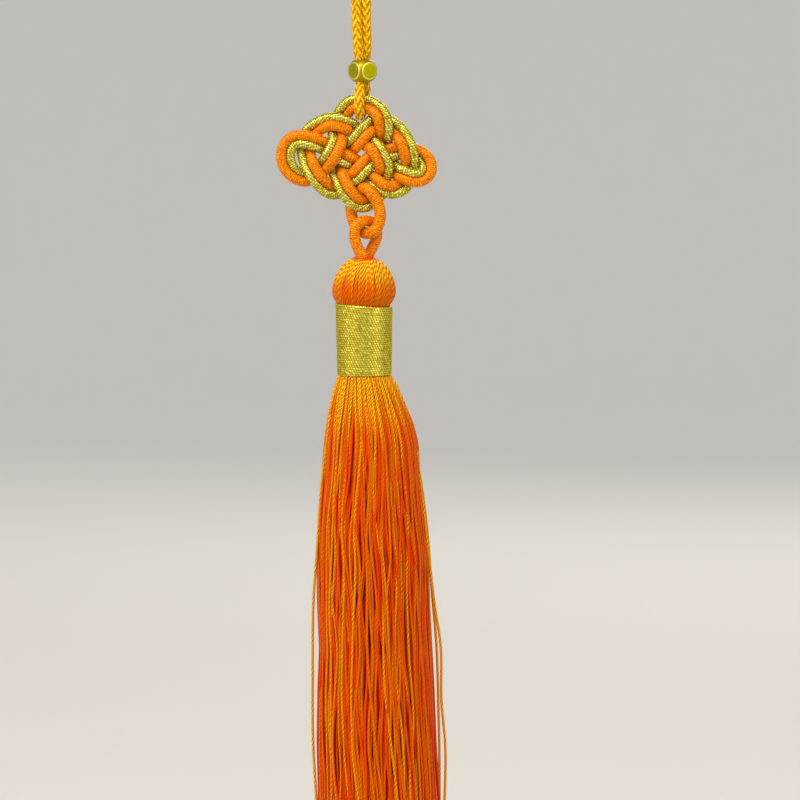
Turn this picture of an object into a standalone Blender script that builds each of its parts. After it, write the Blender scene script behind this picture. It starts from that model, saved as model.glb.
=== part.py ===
"""A hanging ornament: a braided loop, a bead, a two-cord interlaced knot, a ring, a loop and a yarn tassel.

Metres, +Z up. The front faces -Y. The origin is the top of the hanging loop, where the ornament is held.
Tables are in millimetres: x to the right, front towards the viewer, z up.
"""

import math

import bmesh
import bpy
import numpy as np
from mathutils import Vector

MM = 0.001

# Cord sizes
GAP = 0.3                    # clear space between pieces
KNOT_LAY = 1.0               # half the spacing at which the knot's cords lie
KNOT_ORANGE_RADIUS = 0.85
KNOT_GOLD_RADIUS = 0.80
RING_LAY = 1.32
RING_RADIUS = 1.17
LOOP_LAY = 1.28
LOOP_RADIUS = 1.12
HANGING_LAY = 1.15
HANGING_RADIUS = 1.0
HANGING_SQUEEZE = 0.85       # the bead presses the cord to this share of its thickness

# Bead: a round bead with four flats and a wide hole
BEAD_CENTRE = (0.17, 0.0, -56.0)
BEAD_RADIUS = 3.25
BEAD_HALF_HEIGHT = 2.4
BEAD_HOLE_RADIUS = 2.05
BEAD_FLAT_DISTANCE = 2.56
BEAD_FLATS = 4
BEAD_TURN = math.radians(38)
BEAD_SEGMENTS = 36

# Knot
KNOT_Z = -74.4
KNOT_SAMPLES = 360           # places at which the cords are settled; every second one is built

HEIGHT_TURNS = 1500
SETTLE_TURNS = 700
SETTLE_MARGIN = 0.03
SETTLE_HOLD = 0.02           # how far each turn draws the cords back to their place in the front view
SETTLE_HOLD_SHARE = 0.7      # the share of the turns that has this hold
SETTLE_STIFFNESS = 0.2
SETTLE_SMOOTHING = 0.12
SETTLE_SEARCH = 3.6          # cords nearer than this are looked at
SEARCH_EVERY = 20
SAME_CORD_SKIP = 4.4         # length of one cord within which it doesn't press on itself
SETTLE_FLATTEN = 0.2         # how strongly the knot is drawn flat, against its hold in the front view

# Neck and skirt
BAND_TOP_Z = -107.7
BAND_BOTTOM_Z = -123.3
BAND_TOP_RADIUS = 6.35
BAND_BOTTOM_RADIUS = 6.05
BAND_THICKNESS = 0.45
BAND_EASE = 0.25
BAND_COLUMNS = 48
AXIS_TOP_X = 0.45
AXIS_BOTTOM_X = 0.55
HEAD_COLUMNS = 72
HEAD_RIDGE = 0.14            # how far every other column of the head stands out
LOCK_RINGS = 6               # rings of three-sided locks: 6 x 6 x 6 locks in all
LOCK_INSET = 0.07
SKIRT_DEPTH_SHARE = 0.9      # front-to-back width of the skirt, against its width

# The knot's path lies midway between its two cords. Crossings start with c, and z is from the knot's middle.
# Columns: name, x_mm, z_mm
KNOT_POINTS = (
    ("top", -0.4, 12.4), ("t1", 2.6, 10.6), ("c3", 4.6, 7.4), ("a1", 4.9, 4.0), ("c12", 5.4, -0.1),
    ("a2", 6.8, -3.0), ("c10", 10.1, -4.5), ("r1", 12.4, -5.3), ("r2", 14.4, -4.5), ("r3", 14.8, -2.9),
    ("r4", 13.4, -0.7), ("c9", 10.6, 0.3), ("a3", 7.8, 0.4), ("c13", 4.2, -0.4), ("a4", 1.8, -1.9),
    ("c17", 0.0, -3.9), ("a5", -1.8, -5.8), ("c18", -3.7, -7.4), ("b1", -6.7, -8.1), ("b2", -8.9, -6.4),
    ("c8", -10.4, -4.6), ("b3", -11.8, -1.8), ("b4", -12.6, 1.1), ("c7", -12.5, 3.3), ("b5", -10.6, 5.8),
    ("b6", -7.8, 7.1), ("c2", -4.9, 7.3), ("b7", -2.4, 6.2), ("c4", -0.3, 4.7), ("b8", 2.0, 2.6),
    ("b9", 5.0, -2.9), ("c19", 4.1, -7.1), ("d1", 2.7, -9.6), ("bottom", 0.4, -11.2), ("d2", -2.0, -9.9),
    ("d3", -4.9, -4.9), ("d4", -5.3, -2.9), ("c14", -4.4, -0.6), ("d5", -2.3, 2.1), ("d6", 1.6, 6.7),
    ("e1", 7.1, 5.8), ("e2", 9.3, 3.1), ("e3", 10.6, -2.0), ("e4", 8.9, -6.9), ("e5", 6.4, -7.8),
    ("f1", 2.0, -6.0), ("f2", -2.4, -2.0), ("c11", -6.3, 0.7), ("f3", -9.6, 2.4), ("g1", -14.6, 3.4),
    ("g2", -16.7, 1.8), ("g3", -17.1, -1.1), ("g4", -15.8, -4.0), ("g5", -13.3, -5.1), ("f4", -8.2, -2.0),
    ("f5", -5.3, 3.6), ("h1", -3.8, 9.9), ("h2", -2.2, 11.9),
)
KNOT_ROUTE = (
    "top t1 c3 a1 c12 a2 c10 r1 r2 r3 r4 c9 a3 c12 c13 a4 c17 a5 c18 b1 b2 c8 b3 b4 c7 b5 b6 c2 b7 c4 b8 c13 "
    "b9 c19 d1 bottom d2 c18 d3 d4 c14 d5 c4 d6 c3 e1 e2 c9 e3 c10 e4 e5 c19 f1 c17 f2 c14 c11 f3 c7 g1 g2 g3 "
    "g4 g5 c8 f4 c11 f5 c2 h1 h2"
).split()
# Strands that lie on a neighbour beside a crossing: the upper one's crossing, then the lower one's.
KNOT_STACKS = (("c13", "c12"), ("c11", "c14"))

# The hanging cord: down the front, under the knot's top lobe, up the back, round the top and down again.
# Columns: x_mm, front_mm, z_mm
HANGING_ROUTE = (
    (-0.45, 0.68, -56.2), (-0.45, 0.70, -57.6), (-0.45, 1.00, -59.2), (-0.50, 1.75, -60.9),
    (-0.52, 2.10, -62.6), (-0.50, 1.60, -64.3), (-0.35, 0.00, -65.3), (-0.10, -1.75, -64.5),
    (0.30, -2.40, -62.8), (0.70, -2.05, -61.0), (0.85, -1.15, -59.2), (0.79, -0.70, -57.6),
    (0.79, -0.68, -56.0), (0.82, -0.70, -54.4), (1.00, -0.60, -52.2), (1.05, -0.35, -46.0),
    (1.00, -0.15, -40.0), (1.25, -0.05, -34.0), (2.10, 0.00, -26.0), (3.30, 0.00, -18.0),
    (4.20, 0.00, -10.5), (4.30, 0.00, -6.2), (3.05, 0.00, -2.6), (0.00, 0.00, -1.0),
    (-3.05, 0.00, -2.6), (-4.35, 0.00, -6.2), (-4.25, 0.00, -10.5), (-3.40, 0.00, -18.0),
    (-2.30, 0.05, -26.0), (-1.55, 0.10, -34.0), (-1.33, 0.15, -40.0), (-1.15, 0.35, -46.0),
    (-0.80, 0.65, -52.2), (-0.48, 0.70, -54.4), (-0.45, 0.68, -55.8),
)
HANGING_POINTS = 76
HANGING_BEND_WEIGHT = 8.0
BEAD_SQUEEZE_SPAN = (2.6, 4.4)   # distances from the bead's middle at which the cord is thin, and full again

# The link ring through the knot's bottom lobe, and the tassel's loop through the ring
# Columns: x_mm, front_mm, z_mm
RING_ROUTE = (
    (0.2, 0.4, -82.0), (1.5, 2.9, -82.0), (2.9, 3.9, -83.4), (3.8, 3.5, -86.2), (3.8, 2.4, -89.2),
    (2.9, 1.3, -91.1), (1.1, 0.2, -91.7), (-0.8, -0.9, -90.9), (-2.1, -2.0, -88.6), (-2.2, -3.2, -85.8),
    (-1.6, -3.7, -83.2), (-0.7, -2.3, -81.9),
)
LOOP_ROUTE = (
    (0.0, 0.95, -96.8), (-0.6, 1.20, -95.7), (-1.35, 1.55, -94.0), (-1.4, 1.6, -92.2), (-0.8, 1.5, -90.3),
    (0.2, 1.0, -89.1), (1.35, -0.1, -88.9), (2.5, -1.3, -89.9), (2.95, -1.7, -91.8), (2.9, -1.6, -93.6),
    (2.2, -1.20, -95.4), (1.3, -0.95, -96.8),
)

RING_POINTS = 44
LOOP_POINTS = 33
RING_HOLD = 0.4
LOOP_HOLD = 0.5

# The head's outline, from its top to the band
# Columns: z_mm, radius_mm
HEAD_PROFILE = (
    (-97.45, 2.3), (-97.75, 3.4), (-98.8, 4.75), (-100.2, 5.75), (-102.0, 6.6), (-104.2, 7.05),
    (-106.0, 6.85), (-107.35, 6.1),
)

# The skirt's left and right edges down its length
# Columns: z_mm, left_mm, right_mm
SKIRT_EDGES = (
    (-123.7, -4.9, 6.0),
    (-127.8, -7.0, 9.2),
    (-138.4, -8.9, 12.8),
    (-157.3, -10.4, 14.4),
    (-184.4, -10.4, 15.9),
    (-227.8, -10.4, 18.3),
)
SKIRT_LEVELS = (-127.8, -138.4, -168.0, -227.8)
SKIRT_SEED = 5
LOCK_LEAN = 0.02             # how far a lock leans by its end, as a share of the skirt's half width
LOCK_END_DROP = (-3.4, 1.0)  # how much longer or shorter a lock ends
LOCK_FILL = (0.80, 0.98)     # a lock's thickness, as a share of its cell
SKIRT_TAPER = 6.0            # the skirt is round at its root and takes its own depth within this drop


def new_material(name, colour, roughness, metallic):
    """Return a Principled material."""
    material = bpy.data.materials.new(name)
    material.use_nodes = True
    shader = material.node_tree.nodes["Principled BSDF"]
    shader.inputs["Base Color"].default_value = (*colour, 1.0)
    shader.inputs["Roughness"].default_value = roughness
    shader.inputs["Metallic"].default_value = metallic
    material.diffuse_color = (*colour, 1.0)
    return material


def add_object(name, data, material):
    """Link a new object that holds the given data."""
    obj = bpy.data.objects.new(name, data)
    obj.data.materials.append(material)
    bpy.context.scene.collection.objects.link(obj)
    return obj


def finish_mesh(name, bm, material, sharp_angle=40):
    """Turn a bmesh into a smooth-shaded object whose faces point out."""
    bmesh.ops.recalc_face_normals(bm, faces=bm.faces)
    mesh = bpy.data.meshes.new(name)
    bm.to_mesh(mesh)
    bm.free()
    mesh.shade_smooth()
    mesh.set_sharp_from_angle(angle=math.radians(sharp_angle))
    return add_object(name, mesh, material)


def to_world(rows):
    """Change rows of x, front, z in millimetres to x, y, z in metres."""
    rows = np.asarray(rows, float)
    return np.stack([rows[:, 0], -rows[:, 1], rows[:, 2]], 1) * MM


def spline(points, closed, count, bend_weight=0.0):
    """Read a smooth cubic curve through the points at evenly spaced places along it.

    With a bend weight, in millimetres, the places lie closer together where the curve bends.
    """
    points = np.asarray(points, float)
    if closed:
        points = np.vstack([points, points[:1]])
    steps = np.linalg.norm(np.diff(points, axis=0), axis=1)
    knots = np.concatenate([[0.0], np.cumsum(steps)])
    size = len(points)
    system = np.zeros((size, size))
    right = np.zeros_like(points)
    for i in range(1, size - 1):
        system[i, i - 1] = steps[i - 1]
        system[i, i] = 2 * (steps[i - 1] + steps[i])
        system[i, i + 1] = steps[i]
        right[i] = 6 * ((points[i + 1] - points[i]) / steps[i] - (points[i] - points[i - 1]) / steps[i - 1])
    if closed:
        system[0, 0] = 1
        system[0, -1] = -1
        system[-1, 0] = 2 * steps[0]
        system[-1, 1] = steps[0]
        system[-1, -2] = steps[-1]
        system[-1, -1] = 2 * steps[-1]
        right[-1] = 6 * ((points[1] - points[0]) / steps[0] - (points[-1] - points[-2]) / steps[-1])
    else:
        system[0, 0] = 1
        system[-1, -1] = 1
    bend = np.linalg.solve(system, right)
    place = np.linspace(0, knots[-1], 40 * size)
    index = np.clip(np.searchsorted(knots, place, side="right") - 1, 0, size - 2)
    width = steps[index][:, None]
    after = (place - knots[index])[:, None]
    before = width - after
    curve = (bend[index] * before**3 + bend[index + 1] * after**3) / (6 * width)
    curve += (points[index] / width - bend[index] * width / 6) * before
    curve += (points[index + 1] / width - bend[index + 1] * width / 6) * after
    chords = np.diff(curve, axis=0)
    lengths = np.linalg.norm(chords, axis=1)
    along = np.concatenate([[0.0], np.cumsum(lengths)])
    headings = chords / lengths[:, None]
    turns = np.linalg.norm(np.diff(headings, axis=0, append=headings[-1:]), axis=1)
    effort = np.concatenate([[0.0], np.cumsum(lengths + bend_weight * turns)])
    wanted = np.linspace(0, effort[-1], count, endpoint=not closed)
    even = np.stack([np.interp(wanted, effort, curve[:, k]) for k in range(curve.shape[1])], 1)
    return even, np.interp(knots, place, along), along[-1]


def around(a, b, length):
    """Return the shorter way between two places along a closed path."""
    apart = np.abs(a - b) % length
    return np.minimum(apart, length - apart)


def knot_start():
    """Lay the gold and the orange cord side by side along the knot's path, over and under in turn."""
    place = {name: (x, z) for name, x, z in KNOT_POINTS}
    path, knot_places, length = spline([place[name] for name in KNOT_ROUTE], True, KNOT_SAMPLES)
    heading = np.roll(path, -1, 0) - np.roll(path, 1, 0)
    heading /= np.linalg.norm(heading, axis=1)[:, None]
    left = np.stack([-heading[:, 1], heading[:, 0]], 1) * KNOT_LAY
    flat = np.vstack([path + left, path - left])
    along = np.tile(np.arange(KNOT_SAMPLES) * length / KNOT_SAMPLES, 2)

    visits = [(name, knot_places[i]) for i, name in enumerate(KNOT_ROUTE) if name.startswith("c")]
    over = {name: at for name, at in visits[0::2]}
    under = {name: at for name, at in visits[1::2]}
    pairs = [(over[name], under[name]) for name in over]
    pairs += [(over[upper], under[lower]) for upper, lower in KNOT_STACKS]

    reach = 2 * KNOT_LAY
    apart = np.linalg.norm(flat[:, None] - flat[None], axis=2)
    one, two = np.where(np.triu(apart < reach, 1))
    other_strand = around(along[one], along[two], length) > SAME_CORD_SKIP
    one, two = one[other_strand], two[other_strand]
    nearest = np.full(len(one), np.inf)
    sign = np.zeros(len(one))
    for over_at, under_at in pairs:
        for first, second, value in ((over_at, under_at, 1), (under_at, over_at, -1)):
            cost = around(along[one], first, length) + around(along[two], second, length)
            better = cost < nearest
            nearest[better] = cost[better]
            sign[better] = value
    need = np.sqrt(np.maximum(reach**2 - apart[one, two] ** 2, 0))
    front = np.zeros(2 * KNOT_SAMPLES)
    for _ in range(HEIGHT_TURNS):
        rows = front.reshape(2, KNOT_SAMPLES)
        front = (0.5 * rows + 0.25 * (np.roll(rows, 1, 1) + np.roll(rows, -1, 1))).ravel()
        short = np.maximum(need - sign * (front[one] - front[two]), 0)
        push = np.bincount(one, sign * short, len(front)) - np.bincount(two, sign * short, len(front))
        count = np.bincount(one, short > 0, len(front)) + np.bincount(two, short > 0, len(front))
        front += 0.6 * push / np.maximum(count, 1)
    front -= front.mean()
    cords = np.column_stack([flat[:, 0], front, flat[:, 1] + KNOT_Z])
    return cords[:KNOT_SAMPLES], cords[KNOT_SAMPLES:]


def settle(lines):
    """Push cords apart until none lies in another, while each stays smooth and near where it started.

    A line is a dictionary: points in millimetres, closed, lay (its radius), hold (0 free, 1 fixed).
    """
    counts = [len(line["points"]) for line in lines]
    ends = np.cumsum(counts)
    starts = ends - counts
    points = np.vstack([line["points"] for line in lines])
    home = points.copy()
    owner = np.repeat(np.arange(len(lines)), counts)
    lay = np.array([line["lay"] for line in lines])[owner]
    loose = 1.0 - np.array([line["hold"] for line in lines])[owner][:, None]
    step = np.array([np.linalg.norm(np.diff(line["points"], axis=0), axis=1).mean() for line in lines])[owner]
    order = np.arange(len(points)) - starts[owner]
    size = np.array(counts)[owner]
    closed = np.array([line["closed"] for line in lines])[owner]
    for turn in range(SETTLE_TURNS):
        if turn % SEARCH_EVERY == 0:
            apart = np.linalg.norm(points[:, None] - points[None], axis=2)
            one, two = np.where(np.triu(apart < SETTLE_SEARCH, 1))
            gap = np.abs(order[one] - order[two])
            gap = np.where(closed[one], np.minimum(gap, size[one] - gap), gap)
            keep = (owner[one] != owner[two]) | (gap * step[one] > SAME_CORD_SKIP)
            one, two = one[keep], two[keep]
        for start, end, line in zip(starts, ends, lines):
            if line["hold"] == 1:
                continue
            rows = points[start:end]
            lap = 0.5 * (np.roll(rows, 1, 0) + np.roll(rows, -1, 0)) - rows
            bend = 0.5 * (np.roll(lap, 1, 0) + np.roll(lap, -1, 0)) - lap
            if not line["closed"]:
                lap[[0, -1]] = 0
                bend[[0, 1, -2, -1]] = 0
            rows = rows - SETTLE_STIFFNESS * bend
            rows[:, 1] += SETTLE_SMOOTHING * lap[:, 1]
            points[start:end] = rows
        pull = SETTLE_HOLD if turn < SETTLE_TURNS * SETTLE_HOLD_SHARE else 0.0
        points[:, [0, 2]] += pull * (home[:, [0, 2]] - points[:, [0, 2]])
        points[:, 1] -= SETTLE_FLATTEN * pull * loose[:, 0] * points[:, 1]
        for _ in range(2):
            between = points[one] - points[two]
            distance = np.maximum(np.linalg.norm(between, axis=1), 1e-6)
            short = np.maximum(lay[one] + lay[two] + SETTLE_MARGIN - distance, 0)
            push = between / distance[:, None] * short[:, None] * 0.5
            count = np.bincount(one, short > 0, len(points)) + np.bincount(two, short > 0, len(points))
            for axis in range(3):
                move = np.bincount(one, push[:, axis], len(points)) - np.bincount(two, push[:, axis], len(points))
                points[:, axis] += loose[:, 0] * move / np.maximum(count, 1)
    return [points[start:end] for start, end in zip(starts, ends)]


def cord_object(name, points, radius, closed, sides_level, material, swell=None):
    """Make a round cord as a bevelled poly curve through points in millimetres."""
    curve = bpy.data.curves.new(name, "CURVE")
    curve.dimensions = "3D"
    curve.bevel_depth = radius * MM
    curve.bevel_resolution = sides_level
    curve.use_fill_caps = True
    curve.twist_mode = "MINIMUM"
    line = curve.splines.new("POLY")
    world = to_world(points)
    line.points.add(len(world) - 1)
    for i, place in enumerate(world):
        line.points[i].co = (*place, 1.0)
        line.points[i].radius = 1.0 if swell is None else float(swell[i])
    line.use_cyclic_u = closed
    return add_object(name, curve, material)


def lay_cords():
    """Work out where every cord lies."""
    gold, orange = knot_start()
    hanging, _, _ = spline(HANGING_ROUTE, False, HANGING_POINTS, HANGING_BEND_WEIGHT)
    hanging_fine, _, _ = spline(HANGING_ROUTE, False, 4 * HANGING_POINTS)
    low = hanging_fine[hanging_fine[:, 2] < BEAD_CENTRE[2] - BEAD_HALF_HEIGHT]
    ring, _, _ = spline(RING_ROUTE, True, RING_POINTS)
    loop, _, _ = spline(LOOP_ROUTE, False, LOOP_POINTS)
    lines = [
        {"points": gold, "closed": True, "lay": KNOT_LAY, "hold": 0.0},
        {"points": orange, "closed": True, "lay": KNOT_LAY, "hold": 0.0},
        {"points": ring, "closed": True, "lay": RING_LAY, "hold": RING_HOLD},
        {"points": loop, "closed": False, "lay": LOOP_LAY, "hold": LOOP_HOLD},
        {"points": low, "closed": False, "lay": HANGING_LAY, "hold": 1.0},
    ]
    gold, orange, ring, loop, _ = settle(lines)
    return hanging, gold[::2], orange[::2], ring, loop


def bead_object(material):
    """A round bead with four round flats, turned a little, and a wide hole for two thicknesses of cord."""
    bm = bmesh.new()
    bmesh.ops.create_uvsphere(bm, u_segments=BEAD_SEGMENTS, v_segments=24, radius=BEAD_RADIUS * MM)
    cuts = [(Vector((0, 0, 1)), BEAD_HALF_HEIGHT), (Vector((0, 0, -1)), BEAD_HALF_HEIGHT)]
    for flat in range(BEAD_FLATS):
        angle = BEAD_TURN + 2 * math.pi * flat / BEAD_FLATS
        cuts.append((Vector((math.sin(angle), -math.cos(angle), 0)), BEAD_FLAT_DISTANCE))
    for normal, distance in cuts:
        geometry = bm.verts[:] + bm.edges[:] + bm.faces[:]
        cut = bmesh.ops.bisect_plane(
            bm, geom=geometry, plane_co=normal * distance * MM, plane_no=normal, clear_outer=True
        )
        edges = [item for item in cut["geom_cut"] if isinstance(item, bmesh.types.BMEdge)]
        bmesh.ops.contextual_create(bm, geom=edges)
    x, front, z = BEAD_CENTRE
    middle = Vector((x, -front, z)) * MM
    bmesh.ops.translate(bm, vec=middle, verts=bm.verts)
    bead = finish_mesh("bead", bm, material, 20)

    hole = bmesh.new()
    bmesh.ops.create_cone(
        hole, cap_ends=True, segments=BEAD_SEGMENTS, radius1=BEAD_HOLE_RADIUS * MM,
        radius2=BEAD_HOLE_RADIUS * MM, depth=4 * BEAD_HALF_HEIGHT * MM,
    )
    bmesh.ops.translate(hole, vec=middle, verts=hole.verts)
    drill = finish_mesh("bead_drill", hole, material)
    drill.hide_render = True
    drill.display_type = "WIRE"
    cut = bead.modifiers.new("hole", "BOOLEAN")
    cut.object = drill
    cut.operation = "DIFFERENCE"
    return bead


def axis_x(z):
    """Return where the neck's axis is at a height."""
    share = (z - BAND_TOP_Z) / (BAND_BOTTOM_Z - BAND_TOP_Z)
    return AXIS_TOP_X + (AXIS_BOTTOM_X - AXIS_TOP_X) * share


def round_loop(bm, radius, z, columns, ridge=0.0):
    """Add a ring of points round the neck's axis, with every other point standing out by ridge."""
    ring = []
    for column in range(columns):
        angle = 2 * math.pi * column / columns
        reach = radius + (ridge if column % 2 == 0 else 0.0)
        place = Vector((axis_x(z) + reach * math.sin(angle), -reach * math.cos(angle), z))
        ring.append(bm.verts.new(place * MM))
    return ring


def skin(bm, first, second):
    """Join two rings of points that have the same count."""
    for column in range(len(first)):
        after = (column + 1) % len(first)
        bm.faces.new((first[column], first[after], second[after], second[column]))


def band_object(material):
    """The gold winding: a short tube that narrows a little downwards, with eased edges."""
    outline = (
        (BAND_TOP_RADIUS - BAND_THICKNESS, BAND_TOP_Z), (BAND_TOP_RADIUS - BAND_EASE, BAND_TOP_Z),
        (BAND_TOP_RADIUS, BAND_TOP_Z - BAND_EASE), (BAND_BOTTOM_RADIUS, BAND_BOTTOM_Z + BAND_EASE),
        (BAND_BOTTOM_RADIUS - BAND_EASE, BAND_BOTTOM_Z), (BAND_BOTTOM_RADIUS - BAND_THICKNESS, BAND_BOTTOM_Z),
    )
    bm = bmesh.new()
    loops = [round_loop(bm, radius, z, BAND_COLUMNS) for radius, z in outline]
    for first, second in zip(loops, loops[1:] + loops[:1]):
        skin(bm, first, second)
    return finish_mesh("neck_band", bm, material)


def lock_disc(bm, radius, z):
    """Fill a flat disc with rings of three-sided cells; return its rim and its cells."""
    centre = bm.verts.new(Vector((axis_x(z), 0, z)) * MM)
    rings = [[centre]]
    for ring in range(1, LOCK_RINGS + 1):
        row = []
        for column in range(6 * ring):
            angle = 2 * math.pi * column / (6 * ring)
            reach = radius * ring / LOCK_RINGS
            row.append(bm.verts.new(Vector((axis_x(z) + reach * math.sin(angle), -reach * math.cos(angle), z)) * MM))
        rings.append(row)
    cells = []
    for ring in range(1, LOCK_RINGS + 1):
        inner, outer = rings[ring - 1], rings[ring]
        for sector in range(6):
            for k in range(ring):
                a = outer[sector * ring + k]
                b = outer[(sector * ring + k + 1) % len(outer)]
                c = inner[(sector * (ring - 1) + k) % len(inner)]
                cells.append(bm.faces.new((a, b, c)))
                if k < ring - 1:
                    d = inner[(sector * (ring - 1) + k + 1) % len(inner)]
                    cells.append(bm.faces.new((b, d, c)))
    return rings[-1], cells


def skirt_frame(z):
    """Return the skirt's middle x, half width and half depth at a height."""
    table = np.array(SKIRT_EDGES)[::-1]
    left = np.interp(z, table[:, 0], table[:, 1])
    right = np.interp(z, table[:, 0], table[:, 2])
    half = (right - left) / 2
    top_z = SKIRT_EDGES[0][0]
    blend = min((top_z - z) / SKIRT_TAPER, 1.0)
    depth = half * (1 + (SKIRT_DEPTH_SHARE - 1) * blend)
    return (left + right) / 2, half, depth


def yarn_object(material):
    """The tassel's yarn: ridged head, plain neck inside the band, and a skirt of three-sided locks."""
    random = np.random.RandomState(SKIRT_SEED)
    bm = bmesh.new()
    neck_top = BAND_TOP_RADIUS - BAND_THICKNESS - GAP
    neck_bottom = BAND_BOTTOM_RADIUS - BAND_THICKNESS - GAP
    root_z = SKIRT_EDGES[0][0]
    loops = [round_loop(bm, radius, z, HEAD_COLUMNS, HEAD_RIDGE) for z, radius in HEAD_PROFILE]
    for first, second in zip(loops, loops[1:]):
        skin(bm, first, second)
    bm.faces.new(loops[0])
    neck = round_loop(bm, neck_top, BAND_TOP_Z + GAP * 0.5, 6 * LOCK_RINGS)
    head_edges = [bm.edges.get((loops[-1][i], loops[-1][i - 1])) for i in range(HEAD_COLUMNS)]
    waist = round_loop(bm, neck_bottom, BAND_BOTTOM_Z, 6 * LOCK_RINGS)
    skin(bm, neck, waist)
    neck_edges = [bm.edges.get((neck[i], neck[i - 1])) for i in range(len(neck))]
    bmesh.ops.bridge_loops(bm, edges=head_edges + neck_edges)
    rim, cells = lock_disc(bm, neck_bottom, root_z)
    skin(bm, waist, rim)
    bmesh.ops.recalc_face_normals(bm, faces=bm.faces)
    bmesh.ops.inset_individual(bm, faces=cells, thickness=LOCK_INSET * MM, use_even_offset=True)

    for cell in cells:
        corners = [
            ((v.co.x / MM - axis_x(root_z)) / neck_bottom, v.co.y / MM / neck_bottom) for v in cell.verts
        ]
        middle = np.mean(corners, axis=0)
        lean = random.uniform(-LOCK_LEAN, LOCK_LEAN, 2)
        drop = random.uniform(*LOCK_END_DROP)
        fill = random.uniform(*LOCK_FILL)
        face = cell
        for number, z in enumerate(SKIRT_LEVELS):
            share = (number + 1) / len(SKIRT_LEVELS)
            middle_x, half, depth = skirt_frame(z)
            face = bmesh.ops.extrude_discrete_faces(bm, faces=[face])["faces"][0]
            tip = number == len(SKIRT_LEVELS) - 1
            height = z - (drop if tip else 0.0)
            for v, corner in zip(face.verts, corners):
                u = middle + (np.array(corner) - middle) * fill + lean * share
                v.co = Vector((middle_x + half * u[0], depth * u[1], height)) * MM
    return finish_mesh("tassel_yarn", bm, material, 30)


def build():
    """Make every piece."""
    for old in list(bpy.data.objects):
        bpy.data.objects.remove(old, do_unlink=True)

    braid = new_material("braided_nylon_amber", (0.80, 0.36, 0.02), 0.6, 0.0)
    orange_thread = new_material("wrapped_thread_orange", (0.80, 0.24, 0.01), 0.45, 0.0)
    gold_thread = new_material("wrapped_thread_gold", (0.60, 0.52, 0.06), 0.35, 0.6)
    brass = new_material("bead_metal_gold", (0.62, 0.54, 0.05), 0.3, 1.0)
    yarn = new_material("skirt_yarn_orange", (0.82, 0.22, 0.01), 0.6, 0.0)

    hanging, gold, orange, ring, loop = lay_cords()
    near_bead = np.abs(hanging[:, 2] - BEAD_CENTRE[2])
    swell = np.interp(near_bead, BEAD_SQUEEZE_SPAN, [HANGING_SQUEEZE, 1.0])
    cord_object("hanging_cord", hanging, HANGING_RADIUS, False, 2, braid, swell)
    bead_object(brass)
    cord_object("knot_cord_gold", gold, KNOT_GOLD_RADIUS, True, 1, gold_thread)
    cord_object("knot_cord_orange", orange, KNOT_ORANGE_RADIUS, True, 1, orange_thread)
    cord_object("link_ring", ring, RING_RADIUS, True, 2, orange_thread)
    cord_object("tassel_loop", loop, LOOP_RADIUS, False, 2, orange_thread)
    band_object(gold_thread)
    yarn_object(yarn)


build()
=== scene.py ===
import math
from functools import partial

import bpy
import numpy as np
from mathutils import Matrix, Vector


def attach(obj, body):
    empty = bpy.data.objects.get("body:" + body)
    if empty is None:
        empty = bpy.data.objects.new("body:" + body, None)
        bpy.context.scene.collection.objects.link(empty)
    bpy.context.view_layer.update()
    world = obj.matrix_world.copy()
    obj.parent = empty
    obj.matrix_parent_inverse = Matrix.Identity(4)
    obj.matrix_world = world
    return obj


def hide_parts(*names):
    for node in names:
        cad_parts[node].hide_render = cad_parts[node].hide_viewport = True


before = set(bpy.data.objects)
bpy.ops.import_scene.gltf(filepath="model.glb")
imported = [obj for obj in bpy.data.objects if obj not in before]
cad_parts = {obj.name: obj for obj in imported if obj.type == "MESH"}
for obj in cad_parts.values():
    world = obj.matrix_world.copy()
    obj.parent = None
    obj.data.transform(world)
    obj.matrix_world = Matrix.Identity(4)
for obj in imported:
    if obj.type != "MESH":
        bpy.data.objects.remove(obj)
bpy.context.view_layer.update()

mm = 0.001


# Colours, nodes and pieces

def linearColour(hexText):
    # sRGB hex to linear: below 0.04045 divide by 12.92, else ((c + 0.055) / 1.055) ** 2.4
    parts = [int(hexText[i:i + 2], 16) / 255 for i in (1, 3, 5)]
    return (*[c / 12.92 if c <= 0.04045 else ((c + 0.055) / 1.055) ** 2.4 for c in parts], 1.0)


def setNode(material, node, settings):
    # A node or a socket among the settings is linked, a node by its first output in use. Hex text is a colour,
    # and "From" takes both ends of a range.
    for key, value in settings.items():
        if key == "From":
            node.inputs["From Min"].default_value, node.inputs["From Max"].default_value = value
            continue
        if isinstance(value, bpy.types.Node):
            value = next(output for output in value.outputs if output.enabled)
        if isinstance(value, bpy.types.NodeSocket):
            material.node_tree.links.new(value, node.inputs[key])
        elif isinstance(key, str) and hasattr(node, key):
            setattr(node, key, value)
        else:
            isHex = isinstance(value, str) and value.startswith("#")
            node.inputs[key].default_value = linearColour(value) if isHex else value


def addNode(material, kind, settings=None):
    # One node with its properties, the values of its sockets and what feeds them. A second word of the kind is
    # its operation, or a Mix's data type.
    kind, *choice = kind.split()
    node = material.node_tree.nodes.new("ShaderNode" + kind)
    if choice:
        setattr(node, "data_type" if kind == "Mix" else "operation", choice[0])
    setNode(material, node, settings or {})
    return node


def newFinish(name, settings):
    # A Principled material with the constant values of its sockets, and the function that adds its nodes
    material = bpy.data.materials.new(name)
    material.use_nodes = True
    shader = material.node_tree.nodes["Principled BSDF"]
    setNode(material, shader, settings)
    return material, shader, partial(addNode, material)


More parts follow.
